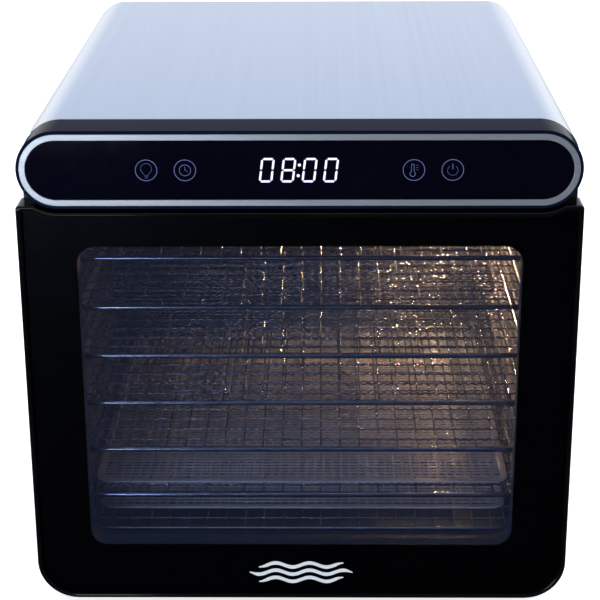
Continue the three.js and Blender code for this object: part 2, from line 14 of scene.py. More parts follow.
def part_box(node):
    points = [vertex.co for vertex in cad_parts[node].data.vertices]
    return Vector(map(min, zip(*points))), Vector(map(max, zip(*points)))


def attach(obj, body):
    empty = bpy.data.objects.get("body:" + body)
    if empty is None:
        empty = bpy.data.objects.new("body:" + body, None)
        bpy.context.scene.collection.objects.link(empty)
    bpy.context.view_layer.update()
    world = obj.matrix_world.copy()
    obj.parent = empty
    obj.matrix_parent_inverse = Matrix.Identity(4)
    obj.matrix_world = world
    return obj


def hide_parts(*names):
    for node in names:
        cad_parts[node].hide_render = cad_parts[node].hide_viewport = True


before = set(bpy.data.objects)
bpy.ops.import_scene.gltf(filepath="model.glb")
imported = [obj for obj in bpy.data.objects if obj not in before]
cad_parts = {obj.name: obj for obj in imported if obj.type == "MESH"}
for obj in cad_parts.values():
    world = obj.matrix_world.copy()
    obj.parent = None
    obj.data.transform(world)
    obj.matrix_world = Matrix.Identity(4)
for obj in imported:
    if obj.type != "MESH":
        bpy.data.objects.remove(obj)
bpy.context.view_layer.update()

MM = 0.001
TAU = 2 * pi


def box_mm(node):
    """Low and high corner of a CAD node, in millimetres."""
    low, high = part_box(node)
    return low / MM, high / MM


def centre_mm(node):
    """Middle of a CAD node's box, in millimetres."""
    low, high = box_mm(node)
    return (low + high) / 2


# ---------- driving dimensions ----------

BAR_LOW, BAR_HIGH = box_mm("control_housing")
RING_LOW, RING_HIGH = box_mm("trim_ring")
PANEL_LOW, PANEL_HIGH = box_mm("touch_panel")
CASE_LOW, CASE_HIGH = box_mm("outer_casing")
DOOR_LOW, DOOR_HIGH = box_mm("door_frame")
PANE_LOW, PANE_HIGH = box_mm("door_glass")
REAR_LOW, REAR_HIGH = box_mm("door_inner_frame")
SEAL_LOW, SEAL_HIGH = box_mm("door_gasket")
LINER_LOW, LINER_HIGH = box_mm("inner_liner")
RACKS = [f"rack_{i}" for i in range(1, 8)]

FRONT = BAR_LOW.y
HALF = CASE_HIGH.x
BAR_RADIUS = (BAR_HIGH.z - BAR_LOW.z) / 2
BAR_Z = (BAR_HIGH.z + BAR_LOW.z) / 2
BAR_CENTRE_X = BAR_HIGH.x - BAR_RADIUS

# Measures that no node's box gives. They match the CAD part's own.
CASE_CORNER = 21.9
CASE_WALL = 0.7
DOOR_REVEAL = 2.5
DOOR_CORNER = 26
DOOR_TIP = 2.5
WINDOW_HALF = 137
WINDOW_BOTTOM = 42
WINDOW_TOP = 247.5
WINDOW_CORNER = 12
MOUTH_HALF = 150.5
MOUTH_TOP = 256
MOUTH_BOTTOM = 21.5

# The width over which the pane's black print fades out at the window.
PRINT_FADE = 1.2

LAMP_LOW, LAMP_HIGH = box_mm("lamp_lens")
LAMP_X = (LAMP_LOW.x + LAMP_HIGH.x) / 2
LAMP_Z = (LAMP_LOW.z + LAMP_HIGH.z) / 2
FAN_LOW, FAN_HIGH = box_mm("fan_rotor")
FAN_Z = (FAN_LOW.z + FAN_HIGH.z) / 2
FAN_RADIUS = FAN_HIGH.x
HUB_FRONT = 174
HUB_BACK = 190
INLET = centre_mm("cord_inlet")
SCREW = centre_mm("rear_screw_right_upper")


# ---------- outlines: lists of (u, v) points ----------

def arc(cx, cy, radius, start, end, steps):
    """Points on an arc, from one angle to another, ends included."""
    angles = np.linspace(start, end, steps + 1)
    return [(cx + radius * cos(a), cy + radius * sin(a)) for a in angles]


def rounded_rect(u0, u1, v0, v1, radius, steps=8):
    """A rectangle with rounded corners, anticlockwise from its bottom right."""
    return (
        arc(u1 - radius, v0 + radius, radius, -TAU / 4, 0, steps)
        + arc(u1 - radius, v1 - radius, radius, 0, TAU / 4, steps)
        + arc(u0 + radius, v1 - radius, radius, TAU / 4, TAU / 2, steps)
        + arc(u0 + radius, v0 + radius, radius, TAU / 2, 0.75 * TAU, steps)
    )


def rect_by_inset(u0, u1, v0, v1, corner, steps, least=0):
    """A rounded rectangle as a function of its inset. The corner shrinks with it, down to least."""
    def outline(inset):
        radius = max(corner - inset, least)
        return rounded_rect(u0 + inset, u1 - inset, v0 + inset, v1 - inset, radius, steps)
    return outline


def front_rect(low, high, radius, steps):
    """The front face of a box, with rounded corners."""
    return rounded_rect(low.x, high.x, low.z, high.z, radius, steps)


def circle(cx, cy, radius, steps=32):
    """A closed circle."""
    return arc(cx, cy, radius, 0, TAU, steps)[:-1]


def hoop(cx, cz, radius, y, steps):
    """A closed circle of 3-D points that faces along Y."""
    return [(u, y, v) for u, v in circle(cx, cz, radius, steps)]


def stadium(inset, steps=28):
    """The control bar's outline, moved in by an inset."""
    radius = BAR_RADIUS - inset
    return (
        arc(BAR_CENTRE_X, BAR_Z, radius, -TAU / 4, TAU / 4, steps)
        + arc(-BAR_CENTRE_X, BAR_Z, radius, TAU / 4, 0.75 * TAU, steps)
    )


def door_outline(inset, steps=14):
    """The door's outline, moved in by an inset. Its top edge follows the bar's underside."""
    half = DOOR_HIGH.x - inset
    bottom = DOOR_LOW.z + inset
    shoulder = DOOR_HIGH.z - inset
    corner = DOOR_CORNER - inset
    sweep = BAR_RADIUS + DOOR_REVEAL + inset
    start = asin((BAR_Z - shoulder) / sweep)
    tip = DOOR_TIP
    return (
        arc(half - corner, bottom + corner, corner, -TAU / 4, 0, steps)
        + arc(half - tip, shoulder - tip, tip, 0, TAU / 4, 4)
        + arc(BAR_CENTRE_X, BAR_Z, sweep, -start, -TAU / 4, steps)
        + arc(-BAR_CENTRE_X, BAR_Z, sweep, -TAU / 4, start - TAU / 2, steps)
        + arc(tip - half, shoulder - tip, tip, TAU / 4, TAU / 2, 4)
        + arc(corner - half, bottom + corner, corner, TAU / 2, 0.75 * TAU, steps)
    )


def window_outline(margin=0, steps=10):
    """The door window's outline, moved outwards by a margin."""
    return rounded_rect(
        -WINDOW_HALF - margin, WINDOW_HALF + margin,
        WINDOW_BOTTOM - margin, WINDOW_TOP + margin,
        WINDOW_CORNER + margin, steps,
    )


# ---------- mesh building ----------

class Form:
    """Vertices in millimetres and faces, gathered for one piece."""

    def __init__(self):
        self.verts = []
        self.faces = []

    def add(self, verts, faces):
        """Adds a block of vertices and the faces between them."""
        start = len(self.verts)
        self.verts.extend(tuple(float(c) for c in v) for v in verts)
        self.faces.extend(tuple(start + i for i in f) for f in faces)
        return self

    def merge(self, other, offset=(0, 0, 0)):
        """Adds another form, moved by an offset."""
        moved = [tuple(c + o for c, o in zip(v, offset)) for v in other.verts]
        return self.add(moved, other.faces)


def add_object(name, data):
    """A new object in the scene."""
    made = bpy.data.objects.new(name, data)
    bpy.context.scene.collection.objects.link(made)
    return made


AXES = {
    "y": lambda u, v, w: (u, w, v),
    "z": lambda u, v, w: (u, v, w),
    "x": lambda u, v, w: (w, u, v),
}


def plate(loops, low, high, bevel=0.0, axis="y", steps=3):
    """A flat plate with holes and rounded edges. The first loop is its outline, the others are holes."""
    curve = bpy.data.curves.new("plate_outline", "CURVE")
    curve.dimensions = "2D"
    curve.fill_mode = "BOTH"
    curve.extrude = (high - low) / 2 - bevel
    curve.bevel_depth = bevel
    curve.bevel_resolution = steps
    curve.offset = -bevel
    for loop in loops:
        spline = curve.splines.new("POLY")
        spline.points.add(len(loop) - 1)
        for point, (u, v) in zip(spline.points, loop):
            point.co = (u, v, 0, 1)
        spline.use_cyclic_u = True
    holder = add_object("plate_outline", curve)
    depsgraph = bpy.context.evaluated_depsgraph_get()
    mesh = bpy.data.meshes.new_from_object(holder.evaluated_get(depsgraph))
    middle = (low + high) / 2
    place = AXES[axis]
    form = Form().add(
        [place(v.co.x, v.co.y, middle + v.co.z) for v in mesh.vertices],
        [tuple(p.vertices) for p in mesh.polygons],
    )
    bpy.data.objects.remove(holder)
    bpy.data.curves.remove(curve)
    bpy.data.meshes.remove(mesh)
    return form


def tube(points, radius, sides=8, closed=False, twist=0.0, flat=1.0):
    """A round or flattened wire along a path. twist is in radians for each step."""
    path = np.array(points, float)
    ahead = np.roll(path, -1, 0) - path
    behind = path - np.roll(path, 1, 0)
    tangent = ahead + behind
    if not closed:
        tangent[0] = ahead[0]
        tangent[-1] = behind[-1]
    tangent /= np.linalg.norm(tangent, axis=1)[:, None]
    up = np.array((0, 0, 1.0))
    if abs(tangent[0] @ up) > 0.9:
        up = np.array((0, 1.0, 0))
    ring = np.linspace(0, TAU, sides, endpoint=False)
    rings = []
    for i, middle in enumerate(path):
        side = np.cross(up, tangent[i])
        side /= np.linalg.norm(side)
        up = np.cross(tangent[i], side)
        angle = twist * i
        a = cos(angle) * side + sin(angle) * up
        b = -sin(angle) * side + cos(angle) * up
        rings.append([middle + radius * cos(t) * a + radius * flat * sin(t) * b for t in ring])
    return loft(rings, closed)


def lathe(profile, centre, steps=32, axis="y"):
    """Turns a profile of (radius, height) points, both ends on the axis, about an axis through centre."""
    verts = []
    faces = []
    rings = []
    for radius, height in profile:
        if radius < 1e-6:
            rings.append([len(verts)])
            verts.append((0, 0, height))
        else:
            rings.append(list(range(len(verts), len(verts) + steps)))
            verts.extend((u, v, height) for u, v in circle(0, 0, radius, steps))
    for one, two in zip(rings, rings[1:]):
        for k in range(steps):
            m = (k + 1) % steps
            quad = [one[k % len(one)], one[m % len(one)], two[m % len(two)], two[k % len(two)]]
            face = tuple(dict.fromkeys(quad))
            if len(face) > 2:
                faces.append(face)
    place = {"y": lambda u, v, w: (u, w, -v), "z": lambda u, v, w: (u, v, w)}[axis]
    moved = [tuple(c + o for c, o in zip(place(*v), centre)) for v in verts]
    return Form().add(moved, faces)


def block(low, high, bevel=0.4, axis="z"):
    """A box with rounded edges."""
    u, v, w = {"z": (0, 1, 2), "y": (0, 2, 1), "x": (1, 2, 0)}[axis]
    corner = min(bevel * 1.5, 0.45 * (high[u] - low[u]))
    outline = rounded_rect(low[u], high[u], low[v], high[v], corner, 3)
    return plate([outline], low[w], high[w], bevel, axis, 2)


# Pieces whose normals even_normals() evens out at the end.
SMOOTH_PIECES = []


def make_piece(name, form, material, replaces=(), body="cabinet", sharp=35, flat=False):
    """A finished object made from a form, riding on a CAD body. sharp is in degrees."""
    mesh = bpy.data.meshes.new(name)
    mesh.from_pydata([tuple(c * MM for c in v) for v in form.verts], [], form.faces)
    mesh.validate()
    merge_close_vertices(mesh)
    if not flat:
        mesh.polygons.foreach_set("use_smooth", [True] * len(mesh.polygons))
        mesh.set_sharp_from_angle(angle=radians(sharp))
    mesh.materials.append(material)
    piece = add_object(name, mesh)
    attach(piece, body)
    if replaces:
        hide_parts(*replaces)
    if not flat and sharp < 60:
        SMOOTH_PIECES.append(piece)
    return piece


def even_normals(pieces):
    """Weights the normals by face area, so that a large flat face stays flat beside its rounded edge."""
    for piece in pieces:
        piece.modifiers.new("even_normals", "WEIGHTED_NORMAL").keep_sharp = True
    depsgraph = bpy.context.evaluated_depsgraph_get()
    for piece in pieces:
        mesh = bpy.data.meshes.new_from_object(piece.evaluated_get(depsgraph))
        piece.modifiers.clear()
        rough = piece.data
        piece.data = mesh
        bpy.data.meshes.remove(rough)
        mesh.name = piece.name


def merge_close_vertices(mesh):
    """Welds the seams that the curve fill leaves, and turns every face outwards."""
    work = bmesh.new()
    work.from_mesh(mesh)
    bmesh.ops.remove_doubles(work, verts=work.verts, dist=2e-6)
    bmesh.ops.recalc_face_normals(work, faces=work.faces)
    work.to_mesh(mesh)
    work.free()


def loft(rings, closed=False):
    """Joins rings of equal point count, and caps the ends or joins the last ring to the first."""
    count = len(rings[0])
    verts = [p for ring in rings for p in ring]
    faces = []
    for i in range(len(rings) if closed else len(rings) - 1):
        j = (i + 1) % len(rings)
        for k in range(count):
            m = (k + 1) % count
            faces.append((i * count + k, i * count + m, j * count + m, j * count + k))
    if not closed:
        faces.append(tuple(range(count - 1, -1, -1)))
        faces.append(tuple((len(rings) - 1) * count + k for k in range(count)))
    return Form().add(verts, faces)


def profile_loft(outline, profile, closed=False, axis="y"):
    """Sweeps a profile of (inset, depth) pairs round an outline that takes an inset."""
    place = AXES[axis]
    rings = [[place(u, v, depth) for u, v in outline(inset)] for inset, depth in profile]
    return loft(rings, closed)


def rounded_edge(inset, depth, radius, inward, steps=5):
    """Profile points of a rounded edge, from the side to the face at depth.

    inward is 1 where the solid lies behind the face, at greater depths, and -1 where it lies before it.
    """
    angles = np.linspace(0, TAU / 4, steps + 1)
    return [
        (inset + radius * (1 - cos(a)), depth + inward * radius * (1 - sin(a)))
        for a in angles
    ]


def solid_plate(outline, front, back, front_radius, back_radius, inset=0.0):
    """A plate without holes, with a rounded front and back edge."""
    front_edge = rounded_edge(inset, front, front_radius, 1)[::-1]
    return profile_loft(outline, front_edge + rounded_edge(inset, back, back_radius, -1))


# ---------- materials ----------

# Nearly all of a noise field lies between these two values.
FIELD_LOW = 0.3
FIELD_HIGH = 0.7


def new_material(name, color, roughness, metallic=0.0, **sockets):
    """A Principled material. Extra sockets are given by name, with _ for spaces."""
    made = bpy.data.materials.new(name)
    made.use_nodes = True
    values = {"Base Color": (*color, 1), "Roughness": roughness, "Metallic": metallic}
    values.update({socket.replace("_", " "): value for socket, value in sockets.items()})
    for socket, value in values.items():
        drive(made, socket, value)
    made.diffuse_color = (*color, 1)
    return made


def feed(made, target, source):
    """Sets an input to a value, or links it to an output. A node stands for its first output."""
    if isinstance(source, bpy.types.Node):
        source = source.outputs[0]
    if isinstance(source, bpy.types.NodeSocket):
        made.node_tree.links.new(source, target)
    else:
        target.default_value = source


def drive(made, socket, source):
    """Feeds an input of a material's Principled shader."""
    feed(made, made.node_tree.nodes["Principled BSDF"].inputs[socket], source)


def add_node(made, kind, inputs=None, **settings):
    """A new shader node with its settings, and with its inputs fed."""
    node = made.node_tree.nodes.new(f"ShaderNode{kind}")
    for key, value in settings.items():
        setattr(node, key, value)
    for key, value in (inputs or {}).items():
        feed(made, node.inputs[key], value)
    return node


def object_place(made):
    """The output that gives a point's place in the piece's own coordinates."""
    return add_node(made, "TexCoord").outputs["Object"]


def noise_field(made, scale, stretch=(1, 1, 1), detail=4.0, roughness=0.55):
    """A noise over the piece's own coordinates."""
    mapping = add_node(made, "Mapping", {"Vector": object_place(made), "Scale": stretch})
    return add_node(made, "TexNoise", {
        "Vector": mapping, "Scale": scale, "Detail": detail, "Roughness": roughness,
    })


def drive_roughness(made, field, low, high):
    """Roughness follows a field, between two values."""
    spread = add_node(made, "MapRange", {
        "Value": field, "From Min": FIELD_LOW, "From Max": FIELD_HIGH, "To Min": low, "To Max": high,
    })
    drive(made, "Roughness", spread)


def drive_color(made, field, dark, light):
    """Base colour follows a field, between two colours."""
    ramp = add_node(made, "ValToRGB", {"Fac": field})
    set_stops(ramp, ((FIELD_LOW, dark), (FIELD_HIGH, light)))
    drive(made, "Base Color", ramp)


def set_stops(ramp, stops):
    """Gives a colour ramp its (position, colour) stops."""
    elements = ramp.color_ramp.elements
    while len(elements) < len(stops):
        elements.new(0.5)
    for element, (position, color) in zip(elements, stops):
        element.position = position
        element.color = (*color, 1)


def drive_bump(made, field, strength, distance):
    """Surface relief from a field; distance is in metres."""
    drive(made, "Normal", add_node(made, "Bump", {
        "Height": field, "Strength": strength, "Distance": distance,
    }))


def brushed_metal(name, dark, light, grain, rough, strength=0.12, metallic=1.0):
    """Metal with a directional grain. grain is the stretch of the noise along X, Y and Z."""
    made = new_material(name, light, rough[0], metallic)
    if strength:
        drive_bump(made, noise_field(made, 60, grain, detail=5.0), strength, 0.00004)
    drive_roughness(made, noise_field(made, 34, grain, detail=1.0), *rough)
    drive_color(made, noise_field(made, 26, grain, detail=1.0), dark, light)
    return made


def gloss_plastic(name, dark, light, rough, ior):
    """Moulded gloss plastic with a faint ripple and faint wipe marks."""
    made = new_material(name, dark, rough[0], IOR=ior)
    drive_bump(made, noise_field(made, 55, detail=2.0), 0.04, 0.0002)
    drive_roughness(made, noise_field(made, 70, (1, 2.5, 1), detail=8.0), *rough)
    drive_color(made, noise_field(made, 12, detail=3.0), dark, light)
    return made


def textured_plastic(name, dark, light, rough, size=900, strength=0.35):
    """Moulded plastic or rubber with a fine spark-eroded texture."""
    made = new_material(name, dark, rough[0])
    drive_bump(made, noise_field(made, size, detail=3.0), strength, 0.0002)
    drive_roughness(made, noise_field(made, 40, detail=6.0), *rough)
    drive_color(made, noise_field(made, 30, detail=5.0), dark, light)
    return made


def blend_shaders(made, share, first, second):
    """The surface is a mix of two shaders; share is the node that gives the second one's part."""
    nodes = made.node_tree.nodes
    nodes.remove(nodes["Principled BSDF"])
    blend = add_node(made, "MixShader", {"Fac": share, 1: first, 2: second})
    feed(made, nodes["Material Output"].inputs["Surface"], blend)
    return made


def glass_material(name, tint, roughness, ior):
    """Clear glass: what is behind it shows through a tint, under a Fresnel reflection."""
    made = new_material(name, tint, roughness)
    through = add_node(made, "BsdfTransparent", {"Color": (*tint, 1)})
    shine = add_node(made, "BsdfGlossy", {"Color": (1, 1, 1, 1), "Roughness": roughness})
    backfacing = add_node(made, "NewGeometry").outputs["Backfacing"]
    index = add_node(made, "MapRange", {"Value": backfacing, "To Min": ior, "To Max": 1 / ior})
    fresnel = add_node(made, "Fresnel", {"IOR": index})
    return blend_shaders(made, fresnel, through, shine)


def haze_material(name, tint, haze, amount):
    """Smoked film: clear through its tint, with a little light scattered by the film itself."""
    made = new_material(name, haze, 0.6)
    through = add_node(made, "BsdfTransparent", {"Color": (*tint, 1)})
    scatter = add_node(made, "BsdfDiffuse", {"Color": (*haze, 1)})
    patchy = add_node(made, "MapRange", {
        "Value": noise_field(made, 9, detail=2.0), "To Min": amount * 0.8, "To Max": amount * 1.2,
    })
    return blend_shaders(made, patchy, through, scatter)


def glow_material(name, color, strength, spread):
    """A lit legend: emission that is a little uneven along its strokes."""
    made = new_material(name, tuple(c * 0.3 for c in color), 0.4, Emission_Color=(*color, 1))
    spot = add_node(made, "MapRange", {
        "Value": noise_field(made, 130, detail=1.0), "To Min": strength * (1 - spread), "To Max": strength,
    })
    drive(made, "Emission Strength", spot)
    return made


def print_material(name, color):
    """Black print behind the glass, fading out over a few millimetres at the window's edge."""
    made = new_material(name, color, 0.35, Specular_IOR_Level=0.08)
    centre_z = (WINDOW_TOP + WINDOW_BOTTOM) / 2
    half_z = (WINDOW_TOP - WINDOW_BOTTOM) / 2
    steps = (
        ("SUBTRACT", (0, PANE_LOW.y * MM, centre_z * MM)),
        ("ABSOLUTE", (0, 0, 0)),
        ("SUBTRACT", ((WINDOW_HALF - WINDOW_CORNER) * MM, 1.0, (half_z - WINDOW_CORNER) * MM)),
        ("MAXIMUM", (0, 0, 0)),
        ("LENGTH", (0, 0, 0)),
    )
    place = object_place(made)
    for operation, value in steps:
        node = add_node(made, "VectorMath", {0: place, 1: value}, operation=operation)
        place = node.outputs["Value" if operation == "LENGTH" else "Vector"]
    fade = add_node(made, "MapRange", {
        "Value": place, "From Min": (WINDOW_CORNER - PRINT_FADE) * MM, "From Max": WINDOW_CORNER * MM,
    }, interpolation_type="SMOOTHSTEP")
    drive(made, "Alpha", fade)
    drive_roughness(made, noise_field(made, 60, detail=4.0), 0.3, 0.42)
    return made


def board_material(name):
    """Green solder mask with lighter traces."""
    made = new_material(name, (0.02, 0.12, 0.06), 0.35)
    bricks = add_node(made, "TexBrick", {
        "Vector": object_place(made), "Scale": 120.0, "Mortar Size": 0.06,
        "Color1": (0.015, 0.11, 0.05, 1), "Color2": (0.02, 0.14, 0.07, 1), "Mortar": (0.08, 0.30, 0.16, 1),
    })
    drive(made, "Base Color", bricks)
    return made


CASE_STEEL = brushed_metal(
    "case_steel", (0.672, 0.722, 0.817), (0.70, 0.75, 0.845), (10, 0.08, 10), (0.264, 0.268), 0, 0.92,
)
BACK_STEEL = brushed_metal(
    "back_steel", (0.672, 0.722, 0.817), (0.70, 0.75, 0.845), (0.08, 10, 10), (0.284, 0.288), 0, 0.92,
)
LINER_STEEL = brushed_metal(
    "liner_steel", (0.31, 0.30, 0.30), (0.40, 0.39, 0.39), (1, 0.4, 14), (0.42, 0.55), 0.12, 0.75,
)
ZINC = brushed_metal(
    "zinc_sheet", (0.40, 0.41, 0.43), (0.58, 0.59, 0.61), (1.5, 1.5, 1.5), (0.35, 0.55), 0.10,
)
BRIGHT_STEEL = brushed_metal(
    "bright_steel", (0.62, 0.63, 0.66), (0.78, 0.79, 0.81), (4, 4, 4), (0.18, 0.28), 0.06,
)
TRIM_SILVER = brushed_metal(
    "trim_silver", (0.40, 0.44, 0.50), (0.45, 0.49, 0.55), (0.5, 8, 14), (0.36, 0.44), 0.04, 0.7,
)
RACK_CHROME = brushed_metal(
    "rack_chrome", (0.32, 0.35, 0.40), (0.50, 0.53, 0.58), (3, 3, 3), (0.17, 0.25), 0.06,
)
HEATER_METAL = brushed_metal(
    "heater_metal", (0.16, 0.11, 0.10), (0.34, 0.28, 0.24), (2, 2, 2), (0.40, 0.60), 0.20,
)
COPPER = brushed_metal(
    "motor_winding", (0.42, 0.16, 0.07), (0.62, 0.28, 0.13), (0.4, 30, 0.4), (0.30, 0.45), 0.60,
)
BAR_BLACK = gloss_plastic("bar_black", (0.0035, 0.0050, 0.016), (0.0045, 0.0065, 0.021), (0.12, 0.18), 1.05)
PANEL_BLACK = gloss_plastic(
    "panel_black", (0.0012, 0.0012, 0.0045), (0.0018, 0.0018, 0.0060), (0.05, 0.09), 1.20,
)
DOOR_BLACK = gloss_plastic(
    "door_black", (0.0015, 0.0015, 0.0020), (0.0030, 0.0030, 0.0035), (0.08, 0.14), 1.30,
)
SATIN_BLACK = textured_plastic("satin_black", (0.010, 0.010, 0.012), (0.018, 0.018, 0.021), (0.42, 0.55))
REVEAL_GREY = textured_plastic("reveal_grey", (0.020, 0.026, 0.036), (0.026, 0.033, 0.045), (0.5, 0.6))
RUBBER = textured_plastic("seal_rubber", (0.012, 0.012, 0.012), (0.024, 0.024, 0.024), (0.65, 0.80), 500)
SCREEN_PLASTIC = textured_plastic(
    "screen_plastic", (0.62, 0.60, 0.57), (0.77, 0.74, 0.70), (0.20, 0.32), 700, 0.10,
)
WHITE_PRINT = textured_plastic(
    "white_print", (0.62, 0.66, 0.71), (0.70, 0.73, 0.78), (0.40, 0.50), 300, 0.05,
)
CERAMIC = textured_plastic("ceramic", (0.62, 0.58, 0.50), (0.74, 0.70, 0.62), (0.45, 0.60), 400, 0.15)
BOARD_GREEN = board_material("board_green")
PANE_GLASS = glass_material("pane_glass", (0.80, 0.83, 0.90), 0.02, 1.16)
LENS_GLASS = glass_material("lens_glass", (1.0, 0.96, 0.88), 0.03, 1.45)
WINDOW_FILM = haze_material("window_film", (0.95, 0.96, 1.0), (0.58, 0.68, 1.0), 0.012)
DOOR_PRINT = print_material("door_print", (0.0012, 0.0012, 0.0014))
DIGIT_GLOW = glow_material("digit_glow", (0.80, 0.80, 1.0), 1.25, 0.15)
ICON_GLOW = glow_material("icon_glow", (0.16, 0.20, 0.52), 0.55, 0.45)
BULB_GLOW = glow_material("bulb_glow", (1.0, 0.66, 0.32), 9.0, 0.20)


# ---------- case ----------

def build_casing():
    """Bent steel sheet over the top and both sides, its flanges turned in under the case."""
    flange = 118
    wrap = rect_by_inset(-HALF, HALF, CASE_LOW.z, CASE_HIGH.z, CASE_CORNER, 12)
    outer, inner = (
        [(flange, CASE_LOW.z + w)] + wrap(w) + [(-flange, CASE_LOW.z + w)] for w in (0, CASE_WALL)
    )
    sheet = plate([outer + inner[::-1]], CASE_LOW.y, CASE_HIGH.y, 0.22, steps=2)
    make_piece("case_sheet", sheet, CASE_STEEL, ["outer_casing"])


def build_front_frame():
    """Moulded frame round the cavity's mouth, with rounded edges and a slot for the display's wires."""
    low, high = box_mm("front_frame")
    outline = front_rect(low, high, CASE_CORNER - 1, 8)
    mouth = rounded_rect(-MOUTH_HALF, MOUTH_HALF, MOUTH_BOTTOM, MOUTH_TOP, 6, 8)
    wire_slot = rounded_rect(-30, 30, BAR_Z - 7, BAR_Z + 7, 6.5, 6)
    frame_plate = plate([outline, mouth[::-1], wire_slot[::-1]], low.y, high.y, 0.8)
    make_piece("mouth_frame", frame_plate, SATIN_BLACK, ["front_frame"])


def build_liner():
    """Steel tunnel of the drying cavity."""
    outline = rect_by_inset(-LINER_HIGH.x, LINER_HIGH.x, LINER_LOW.z, LINER_HIGH.z, 6.5, 6, least=6.5)
    y0, y1 = LINER_LOW.y, LINER_HIGH.y
    wall = 0.7
    liner = profile_loft(outline, [(0, y0), (wall, y0), (wall, y1), (0, y1)], closed=True)
    make_piece("cavity_liner", liner, LINER_STEEL, ["inner_liner"])


def build_fan_guard():
    """Rear wall of the cavity, punched with small round holes, and with one large hole for the lamp."""
    low, high = box_mm("fan_guard")
    lamp_hole = 9
    hole = 2.7
    pitch = 9.0
    row_pitch = 0.866 * pitch
    rows = 21
    columns = 27
    loops = [front_rect(low, high, 6.5, 6), circle(LAMP_X, LAMP_Z, lamp_hole, 20)[::-1]]
    for row in range(rows):
        z = FAN_Z + (row - (rows - 1) / 2) * row_pitch
        for column in range(columns - row % 2):
            x = (column - (columns - 1 - row % 2) / 2) * pitch
            loops.append(circle(x, z, hole, 10)[::-1])
    guard = plate(loops, low.y, high.y)
    make_piece("perforated_wall", guard, LINER_STEEL, ["fan_guard"])


def build_rack_guides():
    """Side inserts of the cavity. Each rack runs on a folded ledge with a turned-down lip."""
    wall = 1.0
    for side, name in ((-1, "left"), (1, "right")):
        low, high = box_mm(f"rack_guide_{name}")
        inner, outer = (low.x, high.x) if side > 0 else (-high.x, -low.x)
        sheet = sorted((side * (outer - wall), side * outer))
        shelf = sorted((side * inner, side * (outer - 0.5)))
        lip = sorted((side * inner, side * (inner + 1.0)))
        guide = Form()
        guide.merge(block((sheet[0], low.y, low.z), (sheet[1], high.y, high.z), 0.3, "x"))
        for rack in RACKS:
            top = box_mm(rack)[0].z - 0.3
            guide.merge(block((shelf[0], low.y + 1, top - 1.1), (shelf[1], high.y, top), 0.35, "y"))
            guide.merge(block((lip[0], low.y + 1, top - 4.5), (lip[1], high.y, top - 0.2), 0.3, "y"))
        make_piece(f"guide_{name}", guide, LINER_STEEL, [f"rack_guide_{name}"])


def build_rear_panel():
    """Rear sheet of the case, with two groups of upright vent slots above the cover."""
    low, high = box_mm("rear_panel")
    motor_hole = 42
    lead_hole = 9
    vents = [58 + 12 * i for i in range(6)]
    vent_low, vent_high = 268, 298
    loops = [front_rect(low, high, CASE_CORNER - 1, 8), circle(0, FAN_Z, motor_hole)[::-1]]
    for x in [-x for x in vents] + vents:
        loops.append(rounded_rect(x - 2.5, x + 2.5, vent_low, vent_high, 2.4, 5)[::-1])
    loops.append(circle(INLET.x, INLET.z, lead_hole, 24)[::-1])
    panel = plate(loops, low.y, high.y, 0.2, steps=2)
    make_piece("back_sheet", panel, BACK_STEEL, ["rear_panel"])


def build_rear_cover():
    """Moulded cover over the fan motor: rounded edge, rows of vent slots, screw pockets."""
    low, high = box_mm("rear_cover")
    tall = (high.z - low.z) / 2
    outline = rect_by_inset(-high.x, high.x, FAN_Z - tall, FAN_Z + tall, 24, 10)
    wall = 2.0
    back = high.y
    face_inset = 9.0
    profile = [(wall, low.y), (0, low.y)] + rounded_edge(0, back, 5, -1, 6)
    profile += [(face_inset, back), (face_inset, back - wall), (6, back - wall), (wall, back - 6)]
    cover = profile_loft(outline, profile, closed=True)

    vent_pitch = 14
    vent_radius = 72
    bore = 3.4
    screws = [(x, z) for x in (-SCREW.x, SCREW.x) for z in (2 * FAN_Z - SCREW.z, SCREW.z)]
    loops = [outline(face_inset - 0.2)]
    for i in range(-4, 5):
        z = FAN_Z + i * vent_pitch
        reach = sqrt(vent_radius ** 2 - (i * vent_pitch) ** 2)
        for x0, x1 in ((-reach, -3), (3, reach)):
            loops.append(rounded_rect(x0, x1, z - 3, z + 3, 2.9, 5)[::-1])
    loops += [circle(x, z, bore, 18)[::-1] for x, z in screws]
    cover.merge(plate(loops, back - wall, back, 0.35))
    boss = [(bore, low.y), (6, low.y), (6, back - wall / 2), (bore, back - wall / 2)]
    for x, z in screws:
        cover.merge(loft([hoop(x, z, r, y, 18) for r, y in boss], closed=True))
    make_piece("motor_cover", cover, SATIN_BLACK, ["rear_cover"])


def build_rear_screws():
    """Pan-head screws with a cross recess, sunk in the cover's pockets."""
    for side in ("left", "right"):
        for level in ("lower", "upper"):
            low, high = box_mm(f"rear_screw_{side}_{level}")
            x, z = (low.x + high.x) / 2, (low.z + high.z) / 2
            top = high.y
            angles = np.linspace(0.5, 1.57, 5)
            dome = [(2.6 * sin(a), top - 0.9 * (1 - cos(a)) - 0.1) for a in angles]
            shank = [(2.6, top - 2.4), (1.5, top - 2.4), (1.5, low.y), (0, low.y)]
            screw = lathe([(0, top - 0.9)] + dome + shank, (x, 0, z), 20)
            for wide, tall in ((1.5, 0.35), (0.35, 1.5)):
                arm_low = (x - wide, top - 1.2, z - tall)
                arm_high = (x + wide, top - 0.05, z + tall)
                screw.merge(block(arm_low, arm_high, 0.1, "y"))
            node = f"rear_screw_{side}_{level}"
            make_piece(f"cover_screw_{side}_{level}", screw, BRIGHT_STEEL, [node])


